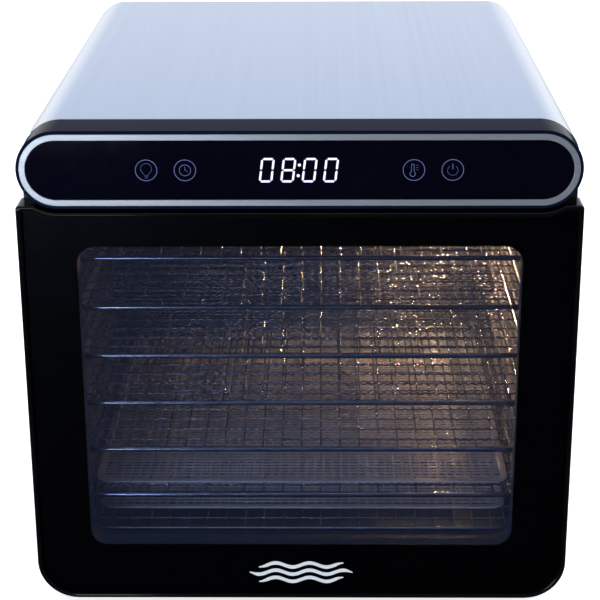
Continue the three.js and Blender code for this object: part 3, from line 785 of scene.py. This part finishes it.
def build_feet():
    """Rubber feet: a tapered drum with grip rings under it and a rounded shoulder."""
    for depth in ("front", "back"):
        for side in ("left", "right"):
            node = f"foot_{depth}_{side}"
            low, high = box_mm(node)
            x, y = (low.x + high.x) / 2, (low.y + high.y) / 2
            top = high.z
            profile = [
                (0, top), (13, top), (13.9, top - 0.8), (13.5, top - 2), (11.4, 1.2), (10.4, 0),
                (8.6, 0), (8.2, 0.9), (6.8, 0.9), (6.4, 0), (4.6, 0), (4.2, 0.9), (0, 0.9),
            ]
            foot = lathe(profile, (x, y, 0), 32, "z")
            make_piece(f"rubber_{node}", foot, RUBBER, [node])


def build_cord_inlet():
    """Rubber bush for the mains lead, with a stepped flange."""
    low, high = box_mm("cord_inlet")
    bore = 4.0
    front, back = low.y, high.y
    profile = [
        (bore, front), (8, front), (8.5, front + 1), (8.5, back - 6), (13, back - 6), (13, back - 4.4),
        (12.2, back - 3.6), (9.6, back - 3.2), (8.2, back - 0.8), (7, back), (bore + 0.8, back),
        (bore, back - 0.8),
    ]
    bush = loft([hoop(INLET.x, INLET.z, r, y, 28) for r, y in profile], closed=True)
    make_piece("lead_bush", bush, RUBBER, ["cord_inlet"])


# ---------- control bar ----------

RING_OUTER = 2.0
RING_INNER = 5.7
DIGIT_LEAN = tan(radians(6.8))
GLOW_FRONT = 0.36
GLOW_BACK = 0.55


def build_bar_housing():
    """Gloss black stadium-shaped cup with a soft front lip round the trim ring."""
    front, back = BAR_LOW.y, BAR_HIGH.y
    rear_edge = rounded_edge(0, back, 1.4, -1, 5)[-2::-1]
    lip = rounded_edge(0, front + 0.15, 0.9, 1, 6)
    seat = RING_OUTER - 0.1
    profile = [(RING_OUTER + 1, back)] + rear_edge + lip + [(seat, front + 0.25), (seat, back - 2)]
    make_piece("bar_shell", profile_loft(stadium, profile), BAR_BLACK, ["control_housing"])


def build_trim_ring():
    """Satin silver ring with softly rounded edges."""
    front, back = RING_LOW.y, RING_HIGH.y
    outer = rounded_edge(RING_OUTER, front, 0.25, 1, 4)
    inner = [(RING_OUTER + RING_INNER - inset, depth) for inset, depth in outer[::-1]]
    profile = [(RING_OUTER, back)] + outer + inner + [(RING_INNER, back)]
    ring = profile_loft(stadium, profile, closed=True)
    make_piece("silver_ring", ring, TRIM_SILVER, ["trim_ring"])


def build_touch_panel():
    """Gloss black touch panel inside the ring."""
    panel = solid_plate(stadium, PANEL_LOW.y, PANEL_HIGH.y, 0.35, 0.3, RING_INNER + 0.05)
    make_piece("touch_glass", panel, PANEL_BLACK, ["touch_panel"])


def lit_shape(outline):
    """A thin lit shape on the panel, from its outline."""
    return loft([[(u, FRONT + y, v) for u, v in outline] for y in (GLOW_FRONT, GLOW_BACK)])


def lean(x, z):
    """Slants a point of the clock's digits about the bar's middle line."""
    return x + (z - BAR_Z) * DIGIT_LEAN


def segment_bar(x0, z0, x1, z1, width):
    """One display segment: a bar with pointed ends."""
    along = Vector((x1 - x0, z1 - z0))
    step = along.normalized() * width / 2
    side = Vector((-step.y, step.x))
    start = Vector((x0, z0)) + step * 0.55
    end = Vector((x1, z1)) - step * 0.55
    points = [start, start + step - side, end - step - side, end, end - step + side, start + step + side]
    return lit_shape([(lean(p.x, p.y), p.y) for p in points])


def build_clock():
    """Four seven-segment digits and the colon between them."""
    stroke = 1.25
    high = 15.1 / 2 - stroke / 2
    wide = 8.9 / 2 - stroke / 2 - 0.4
    zero = [
        (-wide, high, wide, high), (wide, 0, wide, high), (wide, -high, wide, 0),
        (-wide, -high, wide, -high), (-wide, -high, -wide, 0), (-wide, 0, -wide, high),
    ]
    eight = zero + [(-wide, 0, wide, 0)]
    digits = Form()
    for centre, segments in ((-19.28, zero), (-6.42, eight), (6.28, zero), (19.02, zero)):
        for x0, z0, x1, z1 in segments:
            digits.merge(segment_bar(centre + x0, BAR_Z + z0, centre + x1, BAR_Z + z1, stroke))
    for z in (3.2, -3.4):
        digits.merge(lit_shape(circle(lean(-0.16, BAR_Z + z), BAR_Z + z, 0.95, 14)))
    make_piece("clock_digits", digits, DIGIT_GLOW, flat=True)


def stroke_path(points, closed=False, thick=0.2):
    """A lit line on the panel."""
    path = [(u, FRONT + 0.5, v) for u, v in points]
    return tube(path, thick, 6, closed, flat=0.5)


def build_icons():
    """Four touch keys, each a ring round a plain symbol: lamp, time, temperature and power."""
    lamp, time, heat, power = -91.4, -68.2, 68.5, 91.65
    strokes = [stroke_path(circle(x, BAR_Z, 6.45, 40), True) for x in (lamp, time, heat, power)]

    globe = arc(lamp, BAR_Z + 1.0, 3.3, -0.85, TAU / 2 + 0.85, 24)
    strokes.append(stroke_path([(lamp + 1.0, BAR_Z - 3.2)] + globe + [(lamp - 1.0, BAR_Z - 3.2)]))
    for z in (BAR_Z - 3.2, BAR_Z - 4.0, BAR_Z - 4.7):
        strokes.append(stroke_path([(lamp - 1.0, z), (lamp + 1.0, z)]))

    hands = [(time, BAR_Z + 2.2), (time, BAR_Z), (time + 1.6, BAR_Z - 0.8)]
    strokes.append(stroke_path(circle(time, BAR_Z, 3.4, 28), True, 0.16))
    strokes.append(stroke_path(hands, thick=0.16))

    bulb = arc(heat - 0.7, BAR_Z - 2.4, 1.6, TAU / 6, -TAU * 2 / 3, 20)
    stem_top = arc(heat - 0.7, BAR_Z + 2.9, 0.8, TAU / 2, 0, 8)
    strokes.append(stroke_path(bulb + stem_top, True, 0.16))
    for z in (BAR_Z + 0.2, BAR_Z + 1.6, BAR_Z + 3.0):
        strokes.append(stroke_path([(heat + 1.2, z), (heat + 2.7, z)], thick=0.16))

    strokes.append(stroke_path(arc(power, BAR_Z - 0.2, 3.1, TAU / 4 + 0.6, TAU * 1.25 - 0.6, 24)))
    strokes.append(stroke_path([(power, BAR_Z + 0.4), (power, BAR_Z + 3.8)]))
    keys = Form()
    for stroke in strokes:
        keys.merge(stroke)
    make_piece("touch_keys", keys, ICON_GLOW)


# ---------- door ----------

PANE_FRONT = 0.2
PANE_INSET = 3.1
MARK_Z = 24.5


def build_door_frame():
    """Gloss black moulding: rounded rim round the pane, web behind it, wall round the window."""
    front, back = DOOR_LOW.y, DOOR_HIGH.y
    seat = PANE_HIGH.y + 0.3
    shell = 6.0
    rim = [(PANE_INSET, seat), (PANE_INSET, front + 0.9), (PANE_INSET - 0.5, front + 0.35)]
    rim += rounded_edge(0, front + 0.1, 1.6, 1, 6)[::-1]
    rim += rounded_edge(0, back, 0.8, -1, 4) + [(shell, back), (shell, front + 8)]
    frame_form = profile_loft(door_outline, rim, closed=True)
    frame_form.merge(plate([door_outline(PANE_INSET + 0.9), window_outline(0.4)[::-1]], seat, front + 8))
    make_piece("door_moulding", frame_form, DOOR_BLACK, ["door_frame"], "door")

    wall = [(0, seat), (0, back - 0.5), (0.5, back), (3, back), (3, front + 8)]
    reveal = profile_loft(window_outline, wall, closed=True)
    make_piece("window_reveal", reveal, REVEAL_GREY, body="door")


def build_door_pane():
    """Glass over the whole door front, with its black border print and the film behind the window."""
    front, back = PANE_LOW.y, PANE_HIGH.y
    pane = solid_plate(door_outline, front + PANE_FRONT, back, 0.5, 0.2, PANE_INSET + 0.25)
    make_piece("door_pane", pane, PANE_GLASS, ["door_glass"], "door")

    inner = window_outline(-PRINT_FADE)
    border = plate([door_outline(PANE_INSET + 0.5), inner[::-1]], back + 0.05, back + 0.2)
    make_piece("pane_border", border, DOOR_PRINT, body="door", flat=True)

    film = plate([window_outline(-0.5)], back + 0.25, back + 0.32)
    make_piece("window_film", film, WINDOW_FILM, body="door", flat=True)


def build_air_mark():
    """Three white waves printed low on the pane: a plain sign for moving air."""
    mark = Form()
    half_long = 33.5
    rise = 1.5
    thick = 2.5
    for row in range(3):
        z = MARK_Z + (row - 1) * 5.3
        reach = half_long - 6.0 * abs(row - 1)
        steps = np.linspace(-reach, reach, 61)
        wave = [(x, rise * sin(x / 11.0 * pi)) for x in steps]
        taper = [thick * min(1.0, 0.25 + (reach - abs(x)) / 7.0) for x in steps]
        top = [(x, z + y + t / 2) for (x, y), t in zip(wave, taper)]
        bottom = [(x, z + y - t / 2) for (x, y), t in zip(wave, taper)]
        mark.merge(plate([bottom + top[::-1]], FRONT + 0.06, FRONT + PANE_FRONT + 0.02))
    make_piece("air_mark", mark, WHITE_PRINT, body="door", flat=True)


def build_door_back():
    """Inner moulding of the door, and the hollow rubber seal that it carries."""
    front, back = REAR_LOW.y, REAR_HIGH.y
    inner = plate([door_outline(6), window_outline(0.3)[::-1]], front, back, 0.8)
    make_piece("door_lining", inner, SATIN_BLACK, ["door_inner_frame"], "door")

    low, high = SEAL_LOW, SEAL_HIGH
    outline = rect_by_inset(low.x, high.x, low.z, high.z, 12, 8)
    middle = (low.y + high.y) / 2
    half = (high.y - low.y) / 2
    bulge = [(2 + 2 * u, middle + half * v) for u, v in circle(0, 0, 1, 12)]
    seal = profile_loft(outline, bulge, closed=True)
    make_piece("door_seal", seal, RUBBER, ["door_gasket"], "door")


# ---------- racks, screens and tray ----------

LONG_PITCH = 12.8
LONG_COUNT = 21
CROSS_PITCH = 16.4
WAVE_LENGTH = 5.4
WAVE_STEPS = 4
WIRE_RADIUS = 0.64
CRIMP = 0.55
WAVE_HEIGHT = 0.42
BEAD = 0.2


def rack_form():
    """One wire rack about a rail middle at height 0: round rim, crimped long wires, waved cross wires."""
    low, high = box_mm(RACKS[0])
    rail = 1.8
    level = (high.z - low.z) / 2 - rail
    half = high.x - rail
    y0, y1 = low.y + rail, high.y - rail
    rim = [(u, v, level) for u, v in rounded_rect(-half, half, y0, y1, 8, 6)]
    rack = tube(densify(rim, 30), rail, 12, closed=True)

    first_cross = y0 + 0.92 * CROSS_PITCH
    steps = int((y1 - y0) / WAVE_LENGTH * 3) + 1
    for i in range(LONG_COUNT):
        x = (i - (LONG_COUNT - 1) / 2) * LONG_PITCH
        crimp = CRIMP if i % 2 else -CRIMP
        path = []
        for k, y in enumerate(np.linspace(y0, y1, steps)):
            turn = k * TAU / 3
            dip = crimp * cos((y - first_cross) / CROSS_PITCH * pi)
            path.append((x + BEAD * cos(turn), y, level + dip + BEAD * sin(turn)))
        rack.merge(tube(path, WIRE_RADIUS, 5))

    waves = round(2 * half / WAVE_LENGTH)
    turns = np.linspace(0, waves * TAU, waves * WAVE_STEPS + 1)
    for j in range(int((y1 - y0) / CROSS_PITCH)):
        y = first_cross + j * CROSS_PITCH
        path = []
        for t in turns:
            x = half * (2 * t / turns[-1] - 1)
            path.append((x, y + 0.5 * WAVE_HEIGHT * cos(t), level + WAVE_HEIGHT * sin(t)))
        rack.merge(tube(path, WIRE_RADIUS, 5))
    for side in (-1, 1):
        runner = [(side * (half - 7.5), y, level - rail - 0.15) for y in (y0, y1)]
        rack.merge(tube(runner, 0.9, 8))
    return rack


def densify(points, longest):
    """Adds points on the long straight stretches of a closed path."""
    out = []
    for i, p in enumerate(points):
        q = points[(i + 1) % len(points)]
        gap = dist(p, q)
        parts = max(1, int(gap / longest))
        out += [tuple(a + (b - a) * k / parts for a, b in zip(p, q)) for k in range(parts)]
    return out


def build_racks():
    """Seven like racks; each takes the height of its own CAD node."""
    shape = rack_form()
    for node in RACKS:
        low, high = box_mm(node)
        moved = Form().merge(shape, (0, 0, (low.z + high.z) / 2))
        make_piece(f"wire_{node}", moved, RACK_CHROME, [node], node, sharp=80)


# The netting comes this much further forward than its plain CAD sheet.
NETTING_REACH = 9.0
NETTING_BORDER = 5.0
NETTING_COLUMNS = 45
NETTING_ROWS = 62


def build_mesh_screens():
    """Extruded plastic netting: a layer of strands across, fused on a layer of strands lengthways."""
    for name, rack in (("mesh_screen_upper", "rack_6"), ("mesh_screen_lower", "rack_7")):
        low, high = box_mm(name)
        low.y -= NETTING_REACH
        middle = (high.z + low.z) / 2
        edge = rect_by_inset(low.x, high.x, low.y, high.y, 10, 6, least=6)
        screen = plate([edge(0), edge(NETTING_BORDER)[::-1]], low.z, high.z, 0.25, "z", 2)
        pitch_x = (high.x - low.x - 2 * NETTING_BORDER) / NETTING_COLUMNS
        pitch_y = (high.y - low.y - 2 * NETTING_BORDER) / NETTING_ROWS
        for i in range(1, NETTING_COLUMNS):
            x = low.x + NETTING_BORDER + i * pitch_x
            ends = [(x, y, middle - 0.15) for y in (low.y + 3, high.y - 3)]
            screen.merge(tube(ends, 0.8, 6, flat=0.5))
        for j in range(1, NETTING_ROWS):
            y = low.y + NETTING_BORDER + j * pitch_y
            ends = [(x, y, middle + 0.1) for x in (low.x + 3, high.x - 3)]
            screen.merge(tube(ends, 1.25, 8, flat=0.36))
        make_piece(f"netting_{rack}", screen, SCREEN_PLASTIC, [name], rack, sharp=80)


def build_drip_tray():
    """Pressed crumb tray with a rolled rim and a shallow stiffening step in its floor."""
    low, high = box_mm("drip_tray")
    outline = rect_by_inset(low.x, high.x, low.y, high.y, 9, 6, least=2)
    z0, z1 = low.z, high.z
    profile = [
        (14, z0 + 0.9), (4.2, z0), (2.2, z0 + 0.4), (1.4, z0 + 1.6), (1.0, z1 - 1.2), (0.2, z1 - 1.0),
        (0, z1 - 0.5), (0.3, z1), (1.2, z1), (1.8, z1 - 0.7), (2.2, z0 + 1.8), (2.9, z0 + 1.0),
        (4.5, z0 + 0.7), (14, z0 + 1.5),
    ]
    tray = profile_loft(outline, profile, axis="z")
    make_piece("crumb_tray", tray, LINER_STEEL, ["drip_tray"], "drip_tray")


# ---------- fan, heater, lamp and electronics ----------

# A blade's section: (share of the chord, height over the camber line).
BLADE_SECTION = (
    (-0.5, 0.0), (-0.3, 0.7), (0, 0.9), (0.3, 0.6), (0.5, 0.0), (0.3, -0.3), (0, -0.35), (-0.3, -0.4),
)


def build_fan():
    """Fan with six curved blades on a domed hub, and the stepped shaft behind it."""
    low, high = box_mm("fan_rotor")
    y0, y1 = HUB_FRONT, HUB_BACK
    hub = [
        (0, y0), (9, y0), (12.5, y0 + 1), (14.6, y0 + 3.4), (15, y0 + 6), (15, y1), (3, y1), (3, y0 + 4),
        (0, y0 + 4),
    ]
    rotor = lathe(hub, (0, 0, FAN_Z), 40)
    for i in range(6):
        rings = []
        for r in np.linspace(13, FAN_RADIUS - 0.8, 10):
            share = (r - 13) / (FAN_RADIUS - 14)
            pitch = 0.95 - 0.5 * share
            chord = 19 + 5 * sin(share * pi * 0.8)
            lead = i * TAU / 6 + 0.25 * share
            section = []
            for c, t in BLADE_SECTION:
                along = c * chord
                camber = 1.6 * (1 - (2 * c) ** 2)
                tangential = along * cos(pitch) + (t + camber) * sin(pitch)
                depth = -along * sin(pitch) + (t + camber) * cos(pitch)
                angle = lead + tangential / r * 0.8
                section.append((r * cos(angle), (y0 + y1) / 2 + depth, FAN_Z + r * sin(angle)))
            rings.append(section)
        rotor.merge(loft(rings))
    rotor = fit_inside(rotor, low, high)
    make_piece("fan_blades", rotor, SATIN_BLACK, ["fan_rotor"], "fan")

    low, high = box_mm("motor_shaft")
    y0, y1 = low.y, high.y
    shaft = lathe([(0, y0), (1.9, y0), (2.4, y0 + 0.6), (2.4, y1 - 0.5), (0, y1)], (0, 0, FAN_Z), 24)
    make_piece("fan_shaft", shaft, BRIGHT_STEEL, ["motor_shaft"], "fan")


def fit_inside(form, low, high):
    """Clamps a form's vertices to a box."""
    form.verts = [tuple(min(max(c, a), b) for c, a, b in zip(v, low, high)) for v in form.verts]
    return form


def build_motor():
    """Shaded-pole motor: laminated stack between two end caps, with its copper winding."""
    low, high = box_mm("fan_motor")
    radius = (high.x - low.x) / 2
    y0, y1 = low.y, high.y
    body = [
        (0, y1 - 0.4), (6, y1 - 0.4), (7, y1 - 1.8), (16, y1 - 2.2), (22, y1 - 4), (radius - 2, y1 - 5.5),
    ]
    root = radius - 0.7
    for i in range(5):
        y = y1 - 6 - i * 1.2
        body += [(radius, y), (radius, y - 0.7), (root, y - 0.8), (root, y - 1.1)]
    body += [(radius - 1, y0 + 2.5), (radius - 4, y0), (3.2, y0), (3.2, y0 + 8), (0, y0 + 8)]
    motor = lathe(body, (0, 0, FAN_Z), 48)
    make_piece("motor_case", motor, ZINC, ["fan_motor"])
    coil = tube(hoop(0, FAN_Z, 21.5, y1 - 3.2, 48), 2.4, 10, closed=True)
    make_piece("motor_coil", coil, COPPER)

    low, high = box_mm("motor_bracket")
    shaft_hole = circle(0, FAN_Z, 6, 24)[::-1]
    slots = [rounded_rect(x - 9, x + 9, FAN_Z - 4, FAN_Z + 4, 3.9, 5)[::-1] for x in (-40, 40)]
    strap = plate([front_rect(low, high, 5, 5), shaft_hole] + slots, low.y, low.y + 1.7, 0.35)
    pad = plate([rounded_rect(-16, 16, low.z, high.z, 3, 4), shaft_hole], low.y + 1.2, high.y, 0.35)
    make_piece("bracket_strap", strap.merge(pad), ZINC, ["motor_bracket"])


def build_heater():
    """Ring heater: a bare tube with cooling fins along it and two legs with thicker end sleeves."""
    low, high = box_mm("heating_element")
    radius = (high.x - low.x) / 2 - 3
    y = low.y + 3.4
    opening = 0.35
    angles = np.linspace(-TAU / 4 + opening, 0.75 * TAU - opening, 97)
    path = [(radius * cos(a), y, FAN_Z + radius * sin(a)) for a in angles]
    heater = tube(path, 1.9, 10)
    fin_radius, fin_half = 2.9, 0.25
    for a in angles[2:-2]:
        centre = Vector((radius * cos(a), y, FAN_Z + radius * sin(a)))
        ahead = Vector((-sin(a), 0, cos(a))) * fin_half
        out = Vector((cos(a), 0, sin(a))) * fin_radius
        across = Vector((0, fin_radius, 0))
        rim = [centre + out * u + across * v for u, v in circle(0, 0, 1, 12)]
        heater.merge(loft([[p - ahead for p in rim], [p + ahead for p in rim]]))
    for end in (path[0], path[-1]):
        heater.merge(tube([end, (end[0], high.y - 6, end[2])], 1.9, 10))
        heater.merge(tube([(end[0], high.y - 8, end[2]), (end[0], high.y, end[2])], 3.2, 16))
    make_piece("heater_coil", heater, HEATER_METAL, ["heating_element"])


def build_lamp():
    """Oven-type lamp: clear cup over a small bulb in a ceramic holder."""
    low, high = box_mm("lamp_lens")
    centre = (LAMP_X, 0, LAMP_Z)
    y0, y1 = low.y, high.y
    r = (high.x - low.x) / 2
    outer = [
        (0, y0), (6, y0 + 0.3), (10, y0 + 1.8), (r - 1.2, y0 + 4.5), (r - 1, y1 - 4),
        (r, y1 - 3.4), (r, y1),
    ]
    inner = [(r - 2, y1), (r - 2.6, y0 + 5.5), (9, y0 + 3.3), (5.5, y0 + 1.9), (0, y0 + 1.6)]
    cup = lathe(outer + inner, centre, 40)
    make_piece("lamp_cup", cup, LENS_GLASS, ["lamp_lens"])

    low, high = box_mm("lamp_bulb")
    r = (high.x - low.x) / 2
    profile = [(r * sin(a), low.y + r * (1 - cos(a))) for a in np.linspace(0, 1.75, 12)]
    profile += [(r * 0.85, low.y + r * 1.7), (r * 0.72, high.y - 2), (r * 0.72, high.y), (0, high.y)]
    bulb = lathe(profile, centre, 28)
    make_piece("lamp_bulb_glass", bulb, BULB_GLOW, ["lamp_bulb"])

    low, high = box_mm("lamp_holder")
    r = (high.x - low.x) / 2
    y0, y1 = low.y, high.y
    body = [
        (0, y0), (r - 1, y0), (r, y0 + 1), (r, y0 + 5), (r - 1.6, y0 + 6), (r - 1.6, y1 - 4),
        (r - 3, y1 - 3), (r - 4, y1), (0, y1),
    ]
    make_piece("lamp_socket", lathe(body, centre, 32), CERAMIC, ["lamp_holder"])


def build_boards():
    """Power board and control board, each with its own parts."""
    low, high = box_mm("power_board")
    z = low.z + 1.6
    board = block(low, (high.x, high.y, z), 0.3)
    make_piece("power_circuit", board, BOARD_GREEN, ["power_board"])
    parts = block((-100, 40, z), (-70, 66, high.z), 1.2)
    parts.merge(block((-60, 40, z), (-42, 58, z + 14.4), 0.8))
    can = [(0, z), (8, z), (8, z + 19), (7.2, z + 20), (6, z + 19.6), (0, z + 19.6)]
    parts.merge(lathe(can, (-45, 85, 0), 28, "z"))
    parts.merge(block((-102, 80, z), (-92, 104, z + 8.4), 0.6))
    for i in range(6):
        parts.merge(block((-80 + i * 5.2, 78, z), (-78 + i * 5.2, 86, z + 2.2), 0.5))
    make_piece("power_parts", parts, SATIN_BLACK)

    low, high = box_mm("control_board")
    front = FRONT + 12
    board = block((low.x, front, low.z), (high.x, front + 1.6, high.z), 0.3, "y")
    make_piece("touch_circuit", board, BOARD_GREEN, ["control_board"])
    springs = Form()
    turns = 5
    radius = 4.2
    start = low.y + 0.5
    rise = (front - start) / (TAU * turns)
    for x in (-91.5, -68.3, 68.3, 91.5):
        helix = [
            (x + radius * cos(t), start + rise * t, BAR_Z + radius * sin(t))
            for t in np.linspace(0, TAU * turns, turns * 16 + 1)
        ]
        springs.merge(tube(helix, 0.35, 6))
    make_piece("touch_springs", springs, BRIGHT_STEEL)


def finish_cad_nodes():
    """Gives the CAD nodes whose shape is already right their finish."""
    finishes = {
        ZINC: ["base_pan"],
        BRIGHT_STEEL: ["temperature_sensor"],
        SATIN_BLACK: ["display_module", "thermal_cutout"],
    }
    for level in ("lower", "upper"):
        finishes[ZINC] += [f"hinge_{level}_case_leaf", f"hinge_{level}_door_leaf"]
        finishes[BRIGHT_STEEL] += [f"hinge_{level}_pin", f"latch_magnet_{level}", f"latch_strike_{level}"]
    for material, nodes in finishes.items():
        for node in nodes:
            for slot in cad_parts[node].material_slots:
                slot.material = material


# ---------- camera, floor and light ----------

# The camera's place in millimetres, its pitch, yaw and roll in radians, and its lens in millimetres.
CAMERA_PLACE = (13.63, -1216.37, 580.06)
CAMERA_TURN = (0.3543, -0.0136, -0.0052)
CAMERA_LENS = 103.42


def build_camera():
    """Camera in front of the door and above it, looking slightly down."""
    pitch, yaw, roll = CAMERA_TURN
    ahead = Vector((sin(yaw) * cos(pitch), cos(yaw) * cos(pitch), -sin(pitch)))
    right = Vector((cos(yaw), -sin(yaw), 0))
    up = right.cross(ahead)
    side = cos(roll) * right + sin(roll) * up
    top = -sin(roll) * right + cos(roll) * up
    data = bpy.data.cameras.new("camera")
    data.lens = CAMERA_LENS
    data.sensor_width = 36
    camera = add_object("camera", data)
    turn = Matrix((side, top, -ahead)).transposed().to_4x4()
    camera.matrix_world = Matrix.Translation(Vector(CAMERA_PLACE) * MM) @ turn
    bpy.context.scene.camera = camera


def build_floor():
    """Wide pale floor."""
    mesh = bpy.data.meshes.new("floor")
    mesh.from_pydata([(6 * u, 6 * v, 0) for u, v in circle(0, 0, 1, 64)], [], [tuple(range(64))])
    floor = add_object("floor", mesh)
    mesh.materials.append(new_material(
        "floor_white", (0.93, 0.93, 0.93), 0.9, Emission_Color=(1, 1, 1, 1), Emission_Strength=0.75,
    ))
    floor.visible_glossy = False


def area_light(name, place, target, size, power, color=(1, 1, 1)):
    """A soft box at a place in metres, aimed at a target."""
    data = bpy.data.lights.new(name, "AREA")
    data.shape = "RECTANGLE"
    data.size, data.size_y = size
    data.energy = power
    data.color = color
    light = add_object(name, data)
    aim = Vector(target) - Vector(place)
    light.location = place
    light.rotation_euler = aim.to_track_quat("-Z", "Y").to_euler()
    return light


def build_lights():
    """Soft studio light from above and both sides, and the lamp inside the cavity."""
    area_light("top_box", (0, 0.2, 1.9), (0, 0.2, 0.2), (3.0, 3.0), 28, (0.93, 0.96, 1.0))
    area_light("front_box", (-0.66, -0.95, 0.22), (-0.66, 0.0, 0.22), (0.96, 0.18), 5.0, (0.86, 0.93, 1.0))
    area_light("right_box", (1.5, 0.5, 0.9), (0, 0, 0.15), (0.8, 1.0), 8, (0.95, 0.97, 1.0))
    lamp = bpy.data.lights.new("cavity_lamp", "SPOT")
    lamp.energy = 2.8
    lamp.spot_size = radians(165)
    lamp.spot_blend = 1.0
    lamp.color = (1.0, 0.56, 0.23)
    lamp.shadow_soft_size = 0.006
    holder = add_object("cavity_lamp", lamp)
    holder.location = (LAMP_X * MM, box_mm("lamp_lens")[0].y * MM - 0.006, LAMP_Z * MM)
    holder.rotation_euler = Vector((-0.02, -0.26, -0.20)).to_track_quat("-Z", "Y").to_euler()
    holder.visible_camera = False


# The sky's colour by height: 0 straight down, 0.5 level, 1 straight up.
SKY = (
    (0.0, (0.02, 0.02, 0.025)),
    (0.42, (0.03, 0.03, 0.04)),
    (0.46, (1.10, 1.12, 1.15)),
    (0.57, (1.22, 1.22, 1.18)),
    (0.605, (0.88, 0.95, 1.08)),
    (0.64, (0.42, 0.54, 0.78)),
    (0.80, (0.30, 0.34, 0.46)),
    (1.0, (0.22, 0.24, 0.32)),
)


def build_world():
    """White to the camera; to the gloss, a pale sky over a dark ground."""
    world = bpy.data.worlds.new("studio")
    world.use_nodes = True
    bpy.context.scene.world = world
    nodes = world.node_tree.nodes
    direction = add_node(world, "TexCoord").outputs["Generated"]
    split = add_node(world, "SeparateXYZ", {"Vector": direction})
    rescale = add_node(world, "MapRange", {"Value": split.outputs["Z"], "From Min": -1})
    ramp = add_node(world, "ValToRGB", {"Fac": rescale})
    set_stops(ramp, SKY)
    depth = add_node(world, "MapRange", {
        "Value": split.outputs["Y"], "From Min": -0.35, "From Max": 0.15, "To Min": 0.16, "To Max": 1.0,
    })
    sky = nodes["Background"]
    feed(world, sky.inputs["Color"], ramp)
    feed(world, sky.inputs["Strength"], depth)
    white = add_node(world, "Background", {"Color": (1, 1, 1, 1)})
    seen = add_node(world, "LightPath").outputs["Is Camera Ray"]
    blend = add_node(world, "MixShader", {"Fac": seen, 1: sky, 2: white})
    feed(world, nodes["World Output"].inputs["Surface"], blend)
    bpy.context.scene.view_settings.view_transform = "Standard"


for build in (
    build_camera, build_world, build_floor, build_lights, build_casing, build_front_frame,
    build_liner, build_fan_guard, build_rack_guides, build_rear_panel, build_rear_cover,
    build_rear_screws, build_feet, build_cord_inlet, build_bar_housing, build_trim_ring,
    build_touch_panel, build_clock, build_icons, build_door_frame, build_door_pane, build_air_mark,
    build_door_back, build_racks, build_mesh_screens, build_drip_tray, build_fan, build_motor,
    build_heater, build_lamp, build_boards,
):
    build()
finish_cad_nodes()
even_normals(SMOOTH_PIECES)
